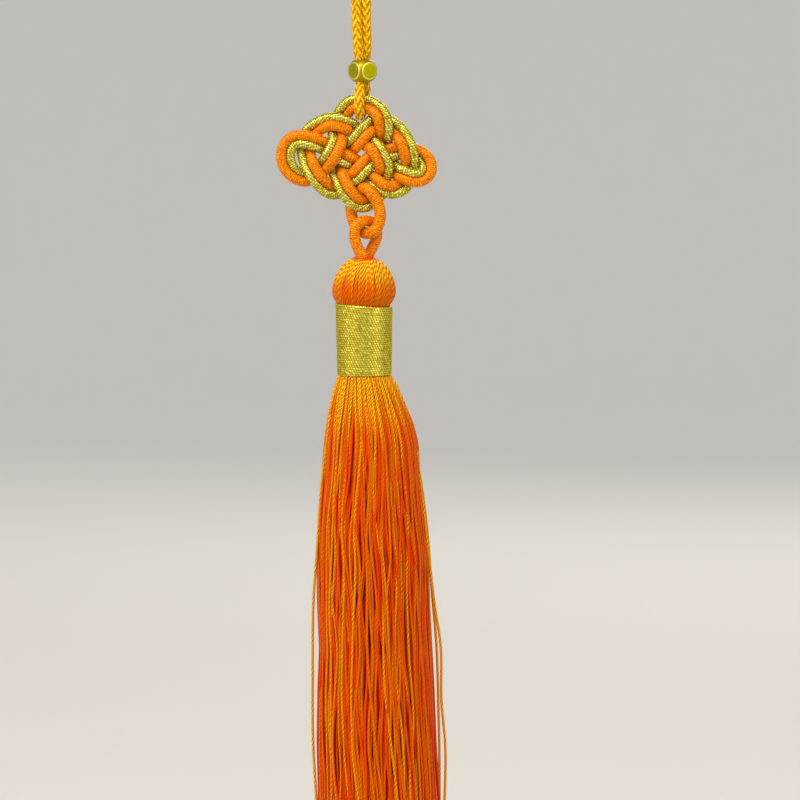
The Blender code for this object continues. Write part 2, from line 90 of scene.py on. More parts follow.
def addPiece(name, points, faces, uv, material, tones=None):
    # points: rows of x, y, z in mm; faces: arrays of corner numbers, one array for each number of corners
    mesh = bpy.data.meshes.new(name)
    corners = np.concatenate([face.ravel() for face in faces]).astype(np.int32)
    sizes = np.concatenate([np.full(len(face), face.shape[1]) for face in faces])
    mesh.vertices.add(len(points))
    mesh.vertices.foreach_set("co", (points * mm).astype(np.float32).ravel())
    mesh.loops.add(len(corners))
    mesh.loops.foreach_set("vertex_index", corners)
    mesh.polygons.add(len(sizes))
    mesh.polygons.foreach_set("loop_start", (np.cumsum(sizes) - sizes).astype(np.int32))
    layer = mesh.uv_layers.new(name="UVMap")
    layer.data.foreach_set("uv", uv.astype(np.float32).ravel())
    if tones is not None:
        mesh.attributes.new("tone", "FLOAT", "POINT").data.foreach_set("value", tones.astype(np.float32))
    mesh.update(calc_edges=True)
    mesh.shade_smooth()
    mesh.materials.append(material)
    piece = bpy.data.objects.new(name, mesh)
    bpy.context.scene.collection.objects.link(piece)
    print(name, sum(len(face) * (face.shape[1] - 2) for face in faces), "triangles")
    return piece


def placePiece(piece, slot, *nodes):
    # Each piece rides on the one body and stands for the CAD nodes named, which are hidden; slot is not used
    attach(piece, "root")
    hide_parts(*nodes)


# The camera: the photograph looks at the tassel from the front and a little above

cameraView = {
    "target": (8.44, 0.0, -128.9),  # mm, the middle of the picture
    "distance": 900.0,
    "elevation": 4.5,  # degrees
    "halfWidth": 88.9,  # mm seen to each side at the target's distance
    "sensorWidth": 36.0,  # mm
    "clip": (0.01, 20.0),  # m
}


def addCamera(view):
    data = bpy.data.cameras.new("camera")
    data.sensor_width = view["sensorWidth"]
    data.lens = view["sensorWidth"] / 2 * view["distance"] / view["halfWidth"]
    data.clip_start, data.clip_end = view["clip"]
    camera = bpy.data.objects.new("camera", data)
    tilt = math.radians(view["elevation"])
    back = Vector((0, -math.cos(tilt), math.sin(tilt)))
    camera.location = (Vector(view["target"]) + back * view["distance"]) * mm
    camera.rotation_euler = (-back).to_track_quat("-Z", "Y").to_euler()
    bpy.context.scene.collection.objects.link(camera)
    bpy.context.scene.camera = camera
    bpy.context.scene.view_settings.view_transform = "Standard"


addCamera(cameraView)
print("camera placed")


# Lines and surfaces

def smoothLine(points, closed, count, bendWeight=0.0):
    # A cubic runs through the points, its second slopes found from one linear system. It is read at even steps
    # of its length, or of its length plus bendWeight times its turning, which puts more places in a bend.
    points = np.asarray(points, float)
    if closed:
        points = np.vstack([points, points[:1]])
    steps = np.linalg.norm(np.diff(points, axis=0), axis=1)
    knots = np.concatenate([[0.0], np.cumsum(steps)])
    slopes = np.diff(points, axis=0) / steps[:, None]
    size = len(points)
    system = np.diag(np.concatenate([[1.0], 2 * (steps[:-1] + steps[1:]), [1.0]]))
    inner = np.arange(1, size - 1)
    system[inner, inner - 1] = steps[:-1]
    system[inner, inner + 1] = steps[1:]
    right = np.zeros_like(points)
    right[1:-1] = 6 * np.diff(slopes, axis=0)
    if closed:
        system[0, -1] = -1
        system[-1, [0, 1, -2, -1]] = [2 * steps[0], steps[0], steps[-1], 2 * steps[-1]]
        right[-1] = 6 * (slopes[0] - slopes[-1])
    bend = np.linalg.solve(system, right)
    readingsAPoint = 40
    place = np.linspace(0, knots[-1], readingsAPoint * size)
    index = np.clip(np.searchsorted(knots, place, side="right") - 1, 0, size - 2)
    width = steps[index][:, None]
    after = (place - knots[index])[:, None]
    before = width - after
    curve = (bend[index] * before**3 + bend[index + 1] * after**3) / (6 * width)
    curve += (points[index] / width - bend[index] * width / 6) * before
    curve += (points[index + 1] / width - bend[index + 1] * width / 6) * after
    chords = np.diff(curve, axis=0)
    lengths = np.linalg.norm(chords, axis=1)
    along = np.concatenate([[0.0], np.cumsum(lengths)])
    headings = chords / lengths[:, None]
    turns = np.linalg.norm(np.diff(headings, axis=0, append=headings[-1:]), axis=1)
    effort = np.concatenate([[0.0], np.cumsum(lengths + bendWeight * turns)])
    wanted = np.linspace(0, effort[-1], count, endpoint=not closed)
    even = np.stack([np.interp(wanted, effort, curve[:, k]) for k in range(curve.shape[1])], 1)
    return even, np.interp(knots, place, along), along[-1]


def smoothStep(value, low, high):
    # 0 below low, 1 above high, 3 t^2 - 2 t^3 between
    t = np.clip((value - low) / (high - low), 0, 1)
    return t * t * (3 - 2 * t)


def roundedDip(count, fullness):
    # 0 at the middle of each whole step of the count, deepest at its edges: 1 - sqrt(1 - fullness (2 f - 1)^2),
    # where f is the fraction of the count
    share = count - np.floor(count)
    return 1 - np.sqrt(1 - fullness * (2 * share - 1) ** 2)


def gridCells(rows, columns, wrapRows, wrapColumns):
    # Row and column of each cell's four corners; past a wrapped edge they count on instead of starting again
    i = np.arange(rows - (not wrapRows))[:, None, None]
    j = np.arange(columns - (not wrapColumns))[None, :, None]
    row, column = np.broadcast_arrays(i + np.array([0, 0, 1, 1]), j + np.array([0, 1, 1, 0]))
    return row.reshape(-1, 4), column.reshape(-1, 4)


def sweepCord(path, radii, closed, reference, untwist=False):
    # point = path + radius (cos a N + sin a B), where N is square to the heading and to the reference, and
    # B = heading x N. Untwisting turns N back by the sum of its turning about the heading.
    heading = np.roll(path, -1, -2) - np.roll(path, 1, -2) if closed else np.gradient(path, axis=-2)
    heading /= np.linalg.norm(heading, axis=-1, keepdims=True)
    side = np.cross(np.broadcast_to(reference, path.shape), heading)
    side /= np.linalg.norm(side, axis=-1, keepdims=True)
    up = np.cross(heading, side)
    if untwist:
        turning = np.sum(np.diff(side, axis=-2, prepend=side[..., :1, :]) * up, -1)
        back = -np.cumsum(turning, -1)[..., None]
        side, up = np.cos(back) * side + np.sin(back) * up, np.cos(back) * up - np.sin(back) * side
    angle = 2 * np.pi * np.arange(radii.shape[-1]) / radii.shape[-1]
    spoke = np.cos(angle)[:, None] * side[..., None, :] + np.sin(angle)[:, None] * up[..., None, :]
    return path[..., None, :] + radii[..., None] * spoke


def cordFaces(points, closed, pattern):
    # points: strands x rows x columns x 3. Quads join neighbouring rows and columns, and a fan round a middle
    # point closes each open end. pattern gives u and v for a row and a column.
    strands, rows, columns, _ = points.shape
    row, column = gridCells(rows, columns, closed, True)
    first = (np.arange(strands) * rows * columns)[:, None, None]
    quads = (first + (row % rows) * columns + column % columns).reshape(-1, 4)
    uv = np.tile(np.stack(pattern(row, column), -1)[None], (strands, 1, 1, 1)).reshape(-1, 2)
    if closed:
        return points.reshape(-1, 3), [quads], uv
    middles = points[:, [0, -1]].mean(2)
    total = strands * rows * columns
    j = np.arange(columns)
    after = (j + 1) % columns
    firstEnd = np.stack(np.broadcast_arrays(total + 2 * np.arange(strands)[:, None], first[:, 0] + after,
                                            first[:, 0] + j), -1)
    last = first[:, 0] + (rows - 1) * columns
    lastEnd = np.stack(np.broadcast_arrays(total + 2 * np.arange(strands)[:, None] + 1, last + j,
                                           last + after), -1)
    fans = np.concatenate([firstEnd.reshape(-1, 3), lastEnd.reshape(-1, 3)])
    allPoints = np.concatenate([points.reshape(-1, 3), middles.reshape(-1, 3)])
    return allPoints, [quads, fans], np.concatenate([uv, np.full((fans.size, 2), 0.5)])


def perPoint(values, points):
    # One value a strand, repeated for its points and for the middle points of its two ends
    strands, rows, columns, _ = points.shape
    return np.concatenate([np.repeat(values, rows * columns), np.repeat(values, 2)])


sideSpan = (-0.35, 0.7)  # cosines at which the painted shade on a yarn's side begins to lift and at which the side is as light as its crown


def paintedSideShades(points, path, outward):
    # A tone lower by 1 - smooth step of c, where c is the cosine between a tube's spoke and the outward
    # direction: painted shade where a yarn turns in between its neighbours
    spoke = points - path[..., None, :]
    facing = np.sum(spoke * outward[..., None, :], -1)
    facing /= np.linalg.norm(spoke, axis=-1) * np.linalg.norm(outward, axis=-1)[..., None]
    return (smoothStep(facing, *sideSpan) - 1).ravel()


def planeNormal(path):
    # The direction in which a nearly flat loop spreads least
    return np.linalg.svd(path - path.mean(0))[2][2]


def fromTable(rows):
    # x, front, z to x, y, z, all in mm: the front faces -Y
    rows = np.asarray(rows, float)
    return np.stack([rows[:, 0], -rows[:, 1], rows[:, 2]], 1)


# Finishes

def crownOf(add, coordinate):
    # 1 at the middle of each whole step of the coordinate and 0 at its edges: 1 - (2 f - 1)^2, f its fraction
    share = add("Math FRACT", {0: coordinate})
    centred = add("Math MULTIPLY_ADD", {0: share, 1: 2.0, 2: -1.0})
    square = add("Math MULTIPLY", {0: centred, 1: centred})
    return add("Math SUBTRACT", {0: 1.0, 1: square})


def strandCoordinates(add):
    # Both UV coordinates, and the crown of the first
    split = add("SeparateXYZ", {0: add("UVMap", {"uv_map": "UVMap"})})
    return split, crownOf(add, split)


# Spun rayon yarn of three twisted plies, silky. Each ply's crown gets a short slanted yellow glint painted
# into its colour, a painted highlight, and the groove between plies a painted red shade. Light goes some way
# into it, and the yarns' sides and the inner layers are painted deeper red as shade, so the gaps between
# yarns read red. The real filaments are 0.015 mm; they are drawn at 0.12 mm to show.
rayonYarn = {
    # glow is the colour of the painted highlight on the crowns, groove that of the painted shade between plies,
    # and deep the red that the painted side shade and the inner layers' lower tones lead to
    "glow": "#F8D020", "light": "#D68A00", "deep": "#DE2600", "groove": "#C82000",
    "plyBump": 0.07,  # mm
    "filament": 0.12,  # mm between filament lines
    "filamentBump": 0.014,
    "patch": 9.0,  # mm, length over which the dye varies
    "patchStretch": (1.6, 1.6, 0.25),
    "filamentStretch": (1.0, 1.0, 0.1),
    "toneShare": 0.7,
    "dyeShare": (0.6, 0.15),  # how much the noise adds to the tone, and a start
    "glintTones": (0.35, 1.35),  # tones at which the painted highlight on the crowns starts and is full
    "glintPower": 3.0,
    "grooveRise": 0.9,
}


def makeRayonYarn(name, look):
    material, shader, add = newFinish(name, {
        "Roughness": 0.42, "Specular IOR Level": 0.22, "Specular Tint": "#FFCC66",
        "Subsurface Weight": 0.2, "Subsurface Radius": (1.0, 0.5, 0.2), "Subsurface Scale": 0.5 * mm,
    })
    _, crown = strandCoordinates(add)
    place = add("TexCoord").outputs["Object"]
    tone = add("Attribute", {"attribute_name": "tone"}).outputs["Fac"]
    patches = add("Mapping", {0: place, "Scale": look["patchStretch"]})
    patchNoise = add("TexNoise", {0: patches, "Scale": 1 / (look["patch"] * mm), "Detail": 3.0})
    gain, offset = look["dyeShare"]
    blend = add("Math MULTIPLY_ADD", {0: patchNoise, 1: gain, 2: offset})
    both = add("Math MULTIPLY_ADD", {"use_clamp": True, 0: tone, 1: look["toneShare"], 2: blend})
    dyed = add("Mix RGBA", {0: both, 6: look["deep"], 7: look["light"]})
    # Painted highlight: the crowns of yarns with a high tone take the glow colour
    bright = add("MapRange", {0: tone, "From": look["glintTones"]})
    peak = add("Math POWER", {0: crown, 1: look["glintPower"]})
    share = add("Math MULTIPLY", {0: bright, 1: peak})
    body = add("Mix RGBA", {0: share, 6: dyed, 7: look["glow"]})
    # Painted shade: the groove between plies takes the groove colour
    rise = add("MapRange", {0: crown, "From Max": look["grooveRise"]})
    colour = add("Mix RGBA", {0: rise, 6: look["groove"], 7: body})
    fine = add("Mapping", {0: place, "Scale": look["filamentStretch"]})
    lines = add("TexNoise", {0: fine, "Scale": 1 / (look["filament"] * mm), "Detail": 1.0})
    fineBump = add("Bump", {"Height": lines, "Distance": look["filamentBump"] * mm})
    bump = add("Bump", {"Height": crown, "Distance": look["plyBump"] * mm, "Normal": fineBump})
    setNode(material, shader, {"Base Color": colour, "Normal": bump})
    return material


# Satin thread wound round a core: a smooth orange with a soft glint on every winding, and a red shade painted
# in the groove between windings. The real thread is about 0.15 mm; it is drawn at 0.42 mm to show.
satinThread = {
    # groove is the colour of the painted shade between windings
    "light": "#FCA408", "deep": "#C44000", "groove": "#A82800",
    "mottle": 0.38,  # mm
    "mottleSpan": (0.3, 0.66),
    "grooveRise": 0.6,
    "grain": 0.16,  # mm
    "grainBump": 0.025,
}


def makeSatinThread(name, look):
    material, shader, add = newFinish(name, {
        "Roughness": 0.36, "Specular IOR Level": 0.55, "Specular Tint": "#FFD070",
        "Sheen Weight": 0.55, "Sheen Roughness": 0.3, "Sheen Tint": "#FFC820",
    })
    _, crown = strandCoordinates(add)
    place = add("TexCoord").outputs["Object"]
    patchNoise = add("TexNoise", {0: place, "Scale": 1 / (look["mottle"] * mm)})
    mottle = add("MapRange", {0: patchNoise, "From": look["mottleSpan"]})
    body = add("Mix RGBA", {0: mottle, 6: look["deep"], 7: look["light"]})
    # Painted shade: the groove between windings takes the groove colour
    rise = add("MapRange", {0: crown, "From Max": look["grooveRise"]})
    colour = add("Mix RGBA", {0: rise, 6: look["groove"], 7: body})
    fine = add("TexNoise", {0: place, "Scale": 1 / (look["grain"] * mm), "Detail": 1.0})
    bump = add("Bump", {"Height": fine, "Distance": look["grainBump"] * mm})
    setNode(material, shader, {"Base Color": colour, "Normal": bump})
    return material


# Metallised film thread, twisted and wound: the twist shows the film as a row of short slanted facets. Each
# facet's colour gets a random share of a pale spark and an olive dark, painted reflections of how each small
# mirror catches the light, and the grooves between windings and the facets' edges get a painted dark shade.
# The real facets are about 0.15 mm; they are drawn about 0.7 mm long to show.
metallicThread = {
    # The spark colour is a painted highlight and the dark colour painted shade; uneven is how far the facets'
    # painted brightness varies
    "paintedSpark": "#FFFA80", "body": "#CEBE12", "paintedDark": "#625200", "aTurn": 9.0, "grooveSpan": (-0.1, 0.85),
    "uneven": 0.85,
}
bandThread = {
    "paintedSpark": "#FFF264", "body": "#CAB20A", "paintedDark": "#685400", "aTurn": 60.0, "grooveSpan": (-0.1, 0.9),
    "uneven": 0.6,
}
film = {
    "shift": 0.38,  # facets by which each winding starts later than the one before
    "lean": 0.5,  # facets by which a facet leans across its winding
    # litSpan and dullSpan: how the painted spark and painted dark fall on the facets; rimSpan: the painted
    # shade at their edges
    "litSpan": (0.1, 0.95), "dullSpan": (-0.2, 0.3), "rimSpan": (-0.1, 0.85),
    "facetBump": 0.07,  # mm
}


def makeMetallicThread(name, look):
    # u counts the windings and v the turn: facet count = v * facets a turn + shift * whole u + lean * part of u
    material, shader, add = newFinish(name, {"Metallic": 0.85, "Roughness": 0.38, "Specular Tint": "#FFE880"})
    split, crown = strandCoordinates(add)
    winding = add("Math FLOOR", {0: split})
    part = add("Math FRACT", {0: split})
    lean = add("Math MULTIPLY", {0: part, 1: film["lean"]})
    shift = add("Math MULTIPLY_ADD", {0: winding, 1: film["shift"], 2: lean})
    dash = add("Math MULTIPLY_ADD", {0: split.outputs[1], 1: look["aTurn"], 2: shift})
    dashCrown = crownOf(add, dash)
    facet = add("Math FLOOR", {0: dash})
    spot = add("CombineXYZ", {0: winding, 1: facet})
    chance = add("TexWhiteNoise", {"Vector": spot})
    pick = add("SeparateColor", {0: chance.outputs["Color"]})
    least = 1 - look["uneven"]
    # Painted reflections: each facet takes a random share of the pale spark and of the dark; grain is that mix
    lit = add("MapRange", {0: pick, "From": film["litSpan"], "To Min": least})
    dull = add("MapRange", {0: pick.outputs[1], "From": film["dullSpan"], "To Min": least})
    pale = add("Mix RGBA", {0: lit, 6: look["body"], 7: look["paintedSpark"]})
    grain = add("Mix RGBA", {0: dull, 6: look["paintedDark"], 7: pale})
    # Painted shade in the grooves between windings and at the facets' edges
    rise = add("MapRange", {0: crown, "From": look["grooveSpan"]})
    rim = add("MapRange", {0: dashCrown, "From": film["rimSpan"]})
    both = add("Math MINIMUM", {0: rise, 1: rim})
    colour = add("Mix RGBA", {0: both, 6: look["paintedDark"], 7: grain})
    swell = add("Math MULTIPLY", {0: dashCrown, 1: pick.outputs[2]})
    bump = add("Bump", {"Height": swell, "Distance": film["facetBump"] * mm})
    setNode(material, shader, {"Base Color": colour, "Normal": bump})
    return material


# Braided nylon: amber bundles of straight filaments, smooth and slightly waxy. A brown shade is painted where a
# bundle dives under the next and at its edges, and a yellow highlight is painted on the top of each crown. The
# real filaments are 0.03 mm; six lines are drawn across each bundle.
nylonBraid = {
    # light is the colour of the painted highlight, groove that of the painted shade
    "light": "#FFDC18", "deep": "#CC8200", "groove": "#965A00",
    "linesAcross": 6.0,
    "lineBump": 0.016,  # mm
    "patch": 0.55,  # mm
    "patchSpan": (0.36, 0.62), "patchLeast": 0.15,
    "crownPower": 3.0, "gain": 1.3,
    "sunkSpan": (0.1, 0.6), "edgeRise": 0.5,
}


def makeNylonBraid(name, look):
    material, shader, add = newFinish(name, {
        "Roughness": 0.33, "Specular IOR Level": 0.5, "Specular Tint": "#FFD860",
    })
    split, crown = strandCoordinates(add)
    place = add("TexCoord").outputs["Object"]
    finer = add("Math MULTIPLY", {0: split, 1: look["linesAcross"]})
    lines = crownOf(add, finer)
    height = add("Attribute", {"attribute_name": "tone"}).outputs["Fac"]
    patchNoise = add("TexNoise", {0: place, "Scale": 1 / (look["patch"] * mm)})
    uneven = add("MapRange", {0: patchNoise, "From": look["patchSpan"], "To Min": look["patchLeast"]})
    # Painted highlight: the top of each crown turns light, broken up in patches
    peak = add("Math POWER", {0: crown, 1: look["crownPower"]})
    raised = add("Math MULTIPLY", {0: peak, 1: height})
    mixed = add("Math MULTIPLY", {0: uneven, 1: raised})
    more = add("Math MULTIPLY", {"use_clamp": True, 0: mixed, 1: look["gain"]})
    body = add("Mix RGBA", {0: more, 6: look["deep"], 7: look["light"]})
    # Painted shade: low places and the strands' edges take the groove colour
    sunk = add("MapRange", {0: height, "From": look["sunkSpan"]})
    edge = add("MapRange", {0: crown, "From Max": look["edgeRise"]})
    rise = add("Math MINIMUM", {0: sunk, 1: edge})
    colour = add("Mix RGBA", {0: rise, 6: look["groove"], 7: body})
    bump = add("Bump", {"Height": lines, "Distance": look["lineBump"] * mm})
    setNode(material, shader, {"Base Color": colour, "Normal": bump})
    return material


# Gold-plated brass bead: the cut flats are brighter and the round duller, clouded by wear, and the edge between
# them has a pale painted highlight.
platedBrass = {
    # rim is the colour of the painted highlight on the edge between flat and round
    "flat": "#B8B204", "round": "#B4A008", "rim": "#FFF690", "worn": "#6A5E00",
    "flatRoughness": 0.44, "roundRoughness": 0.5, "rimPower": 1.5,
    "cloud": 0.7,  # mm
    "cloudSpan": (0.3, 0.7), "cloudLeast": 0.7,
    "grain": 0.16,  # mm
    "grainBump": 0.01, "grainStrength": 0.5,
}


def makePlatedBrass(name, look):
    material, shader, add = newFinish(name, {"Metallic": 1.0})
    flat = add("Attribute", {"attribute_name": "tone"}).outputs["Fac"]
    place = add("TexCoord").outputs["Object"]
    dull = add("MapRange", {0: flat, "To Min": look["roundRoughness"], "To Max": look["flatRoughness"]})
    cloud = add("TexNoise", {0: place, "Scale": 1 / (look["cloud"] * mm), "Detail": 3.0})
    uneven = add("MapRange", {0: cloud, "From": look["cloudSpan"], "To Min": look["cloudLeast"]})
    plain = add("Mix RGBA", {0: flat, 6: look["round"], 7: look["flat"]})
    # Painted highlight along the edge between flat and round
    rim = crownOf(add, flat)
    rimShare = add("Math POWER", {0: rim, 1: look["rimPower"]})
    gold = add("Mix RGBA", {0: rimShare, 6: plain, 7: look["rim"]})
    worn = add("Mix RGBA", {0: uneven, 6: look["worn"], 7: gold})
    grain = add("TexNoise", {0: place, "Scale": 1 / (look["grain"] * mm)})
    bump = add("Bump", {"Height": grain, "Distance": look["grainBump"] * mm, "Strength": look["grainStrength"]})
    setNode(material, shader, {"Base Color": worn, "Roughness": dull, "Normal": bump})
    return material


amberBraid = makeNylonBraid("nylon_braid_amber", nylonBraid)
orangeWinding = makeSatinThread("satin_thread_orange", satinThread)
goldWinding = makeMetallicThread("metallised_thread_gold", metallicThread)
bandWinding = makeMetallicThread("metallised_thread_band", bandThread)
beadMetal = makePlatedBrass("plated_brass_gold", platedBrass)
tasselYarn = makeRayonYarn("rayon_yarn_orange", rayonYarn)
print("finishes made")


# The hanging cord: one braided loop through the knot's top lobe and the bead

bead = {
    "centre": (0.17, 0.0, -56.0),  # mm: x, front, z
    "radius": 3.25,
    "halfHeight": 2.4,
    "holeRadius": 1.86,
    "oblate": 1.1,  # how much flatter than a sphere the round is
    "flatDistance": 2.56,
    "flats": 4,
    "turn": 38.0,  # degrees
    "edgeRound": 0.12,  # mm, how soft the edge between a flat and the round is
    "lipSteps": (0.05, 0.12),  # mm, how far the round draws in towards the hole in two steps
    "lipFalls": (0.02, 0.08),  # mm, how far below the end those steps and the hole's edge lie
    "lipWall": 0.03,  # mm, the least wall there
    "columns": 208,
    "rows": 60,
}

# Columns: x, front, z in mm
hangingRoute = (
    (-0.45, 0.68, -56.2), (-0.45, 0.70, -57.6), (-0.45, 1.00, -59.2), (-0.50, 1.85, -60.9),
    (-0.52, 2.20, -62.8), (-0.50, 1.60, -64.8), (-0.35, 0.00, -65.8), (-0.10, -1.75, -65.0),
    (0.30, -2.40, -63.2), (0.70, -2.05, -61.2), (0.85, -1.15, -59.2), (0.79, -0.70, -57.6),
    (0.79, -0.68, -56.0), (0.82, -0.70, -54.4), (0.95, -0.60, -52.2), (0.95, -0.40, -46.0),
    (0.90, -0.25, -40.0), (1.20, -0.10, -34.0), (2.10, 0.00, -26.0), (3.30, 0.00, -18.0),
    (4.20, 0.00, -10.5), (4.30, 0.00, -6.2), (3.05, 0.00, -2.6), (0.00, 0.00, -1.0),
    (-3.05, 0.00, -2.6), (-4.35, 0.00, -6.2), (-4.25, 0.00, -10.5), (-3.40, 0.00, -18.0),
    (-2.30, 0.05, -26.0), (-1.50, 0.10, -34.0), (-1.23, 0.25, -40.0), (-1.02, 0.45, -46.0),
    (-0.68, 0.65, -52.2), (-0.48, 0.70, -54.4), (-0.45, 0.68, -55.8),
)
hangingCord = {
    "thickness": 2.2,  # mm across
    "length": 136.0,
    "strandsEachWay": 6,  # a twelve-strand braid
    "crossingStep": 1.89,  # mm along the cord from one crossing to the next
    "crown": 0.30,  # mm, how round each strand is
    "fullness": 0.9,  # how much of a half circle each strand's crown is
    "deepest": 0.68,  # how deep that dips at a strand's edge
    "lift": 0.11,  # mm, how far a strand rises over and sinks under
    "inset": 0.01,  # mm
    "columns": 60,
    "rowStep": 0.155,  # mm
    "pathStep": 6,
    "squeeze": 0.85,  # share of its thickness inside the bead
    "squeezeSpan": (2.6, 4.4),  # mm from the bead's middle: thin up to the first, full from the second
    "lay": 1.15,
}


def braidSurface(along, angle, cord):
    # Strands wind both ways, counted by a and b. Strand a stands out by sin(pi/2 (whole a + b)), so it runs
    # over two and under two of the others. Across, each strand is rounded.
    turns = cord["strandsEachWay"] * angle / (2 * np.pi)
    climb = along / cord["crossingStep"]
    a, b = turns + climb, turns - climb
    heights = []
    for across, other, start in ((a, b, 0), (b, a, 2)):
        lift = np.sin(np.pi / 2 * (np.floor(across) + other + start))
        heights.append(cord["lift"] * lift - cord["crown"] * roundedDip(across, cord["fullness"]))
    return heights[0], heights[1], a, b


def makeHangingCord(cord, route):
    path, _, length = smoothLine(fromTable(route), False, int(cord["length"] / cord["rowStep"]))
    rows, columns = len(path), cord["columns"]
    rowStep = length / (rows - 1)
    along = (np.arange(rows) * rowStep)[:, None]
    angle = 2 * np.pi * np.arange(columns)[None] / columns
    over, under, _, _ = braidSurface(along, angle, cord)
    fromBead = np.abs(path[:, 2] - bead["centre"][2])
    share = np.interp(fromBead, cord["squeezeSpan"], [cord["squeeze"], 1.0])[:, None]
    height = np.maximum(over, under)
    radii = (cord["thickness"] / 2 - cord["inset"] + height) * share
    # tone: how high the surface stands, from which the finish paints shade where it is low and highlight where
    # it is high
    tones = 1 + (height - cord["lift"]) / (cord["crown"] * cord["deepest"] + cord["lift"])
    points = sweepCord(path, radii, False, np.array([1, 1, 0]) / math.sqrt(2), True)

    def strandPattern(row, column):
        # u runs across the strand that lies on top at the cell's middle; the other way's strands count from 500
        midRow, midColumn = row.mean(1), column.mean(1)
        first, second, _, _ = braidSurface(midRow * rowStep, 2 * np.pi * midColumn / columns, cord)
        _, _, a, b = braidSurface(row * rowStep, 2 * np.pi * column / columns, cord)
        top = (first > second)[:, None]
        return np.where(top, a, b + 500), np.where(top, b, a)

    corners, faces, uv = cordFaces(points[None], False, strandPattern)
    piece = addPiece("hanging_cord_braid", corners, faces, uv, amberBraid, np.append(tones.ravel(), [0.5, 0.5]))
    placePiece(piece, "braided_cord", "hanging_cord")
    return length


hangingLength = makeHangingCord(hangingCord, hangingRoute)
print("hanging cord", round(hangingLength, 1), "mm long")


# The bead

def makeBead(look):
    # Radius at angle a and height h: a soft minimum, -k log(sum exp(-r / k)), of the round
    # sqrt(R^2 - (oblate h)^2) and the flats d / cos(a - a0). The rows go up the outside and down the hole.
    columns, rows = look["columns"], look["rows"]
    angle = 2 * np.pi * np.arange(columns) / columns
    (firstStep, secondStep), (small, large) = look["lipSteps"], look["lipFalls"]
    height = np.linspace(-1, 1, rows) * (look["halfHeight"] - large)
    sphere = np.sqrt(look["radius"] ** 2 - (look["oblate"] * height) ** 2)[:, None]
    sector = 2 * np.pi / look["flats"]
    off = (angle - math.radians(look["turn"]) + sector / 2) % sector - sector / 2
    flat = (look["flatDistance"] / np.cos(off))[None]
    k = look["edgeRound"]
    outer = -k * np.log(np.exp(-sphere / k) + np.exp(-flat / k))
    flatShare = 1 / (1 + np.exp(-(sphere - flat) / (0.5 * k)))
    hole, limit = look["holeRadius"], look["halfHeight"]
    lips = [np.maximum(end - secondStep, hole + look["lipWall"]) for end in (outer[-1], outer[0])]
    radii = np.vstack([
        outer, outer[-1] - firstStep, lips[0], np.full((2, columns), hole), lips[1], outer[0] - firstStep,
    ])
    heights = np.concatenate([
        height, [limit - small, limit, limit - large, -limit + large, -limit, -limit + small],
    ])
    x, front, z = look["centre"]
    points = np.stack([
        x + radii * np.sin(angle), -front - radii * np.cos(angle), z + heights[:, None] + 0 * radii,
    ], -1)
    row, column = gridCells(len(heights), columns, True, True)
    faces = (row % len(heights)) * columns + column % columns
    uv = np.stack([column / columns, row / len(heights)], -1).reshape(-1, 2)
    tones = np.zeros((len(heights), columns))
    tones[:rows] = flatShare
    piece = addPiece("bead_cut_brass", points.reshape(-1, 3), [faces], uv, beadMetal, tones.ravel())
    placePiece(piece, "bead_metal", "bead")


makeBead(bead)


# Where the knot's two cords, the link ring and the tassel's loop lie

# Midway between the two cords. Crossings start with c. Columns: name, x, z from the knot's middle, in mm
knotPoints = (
    ("top", -0.4, 12.4), ("t1", 2.6, 10.6), ("c3", 4.6, 7.4), ("a1", 4.9, 4.0), ("c12", 5.4, -0.1),
    ("a2", 6.8, -3.0), ("c10", 10.1, -4.5), ("r1", 12.4, -5.3), ("r2", 14.4, -4.5), ("r3", 14.8, -2.9),
    ("r4", 13.4, -0.7), ("c9", 10.6, 0.3), ("a3", 7.8, 0.4), ("c13", 4.2, -0.4), ("a4", 1.8, -1.9),
    ("c17", 0.0, -3.9), ("a5", -1.8, -5.8), ("c18", -3.7, -7.4), ("b1", -6.7, -8.1), ("b2", -8.9, -6.4),
    ("c8", -10.4, -4.6), ("b3", -11.8, -1.8), ("b4", -12.6, 1.1), ("c7", -12.5, 3.3), ("b5", -10.6, 5.8),
    ("b6", -7.8, 7.1), ("c2", -4.9, 7.3), ("b7", -2.4, 6.2), ("c4", -0.3, 4.7), ("b8", 2.0, 2.6),
    ("b9", 5.0, -2.9), ("c19", 4.1, -7.1), ("d1", 2.7, -9.6), ("bottom", 0.4, -11.2), ("d2", -2.0, -9.9),
    ("d3", -4.9, -4.9), ("d4", -5.3, -2.9), ("c14", -4.4, -0.6), ("d5", -2.3, 2.1), ("d6", 1.6, 6.7),
    ("e1", 7.1, 5.8), ("e2", 9.3, 3.1), ("e3", 10.6, -2.0), ("e4", 8.9, -6.9), ("e5", 6.4, -7.8),
    ("f1", 2.0, -6.0), ("f2", -2.4, -2.0), ("c11", -6.3, 0.7), ("f3", -9.6, 2.4), ("g1", -14.6, 3.4),
    ("g2", -16.7, 1.8), ("g3", -17.1, -1.1), ("g4", -15.8, -4.0), ("g5", -13.3, -5.1), ("f4", -8.2, -2.0),
    ("f5", -5.3, 3.6), ("h1", -3.8, 9.9), ("h2", -2.2, 11.9),
)
knotRoute = (
    "top t1 c3 a1 c12 a2 c10 r1 r2 r3 r4 c9 a3 c12 c13 a4 c17 a5 c18 b1 b2 c8 b3 b4 c7 b5 b6 c2 b7 c4 b8 "
    "c13 b9 c19 d1 bottom d2 c18 d3 d4 c14 d5 c4 d6 c3 e1 e2 c9 e3 c10 e4 e5 c19 f1 c17 f2 c14 c11 f3 c7 "
    "g1 g2 g3 g4 g5 c8 f4 c11 f5 c2 h1 h2"
).split()
# Strands that lie on a neighbour beside a crossing: the upper one's crossing, then the lower one's
knotStacks = (("c13", "c12"), ("c11", "c14"))

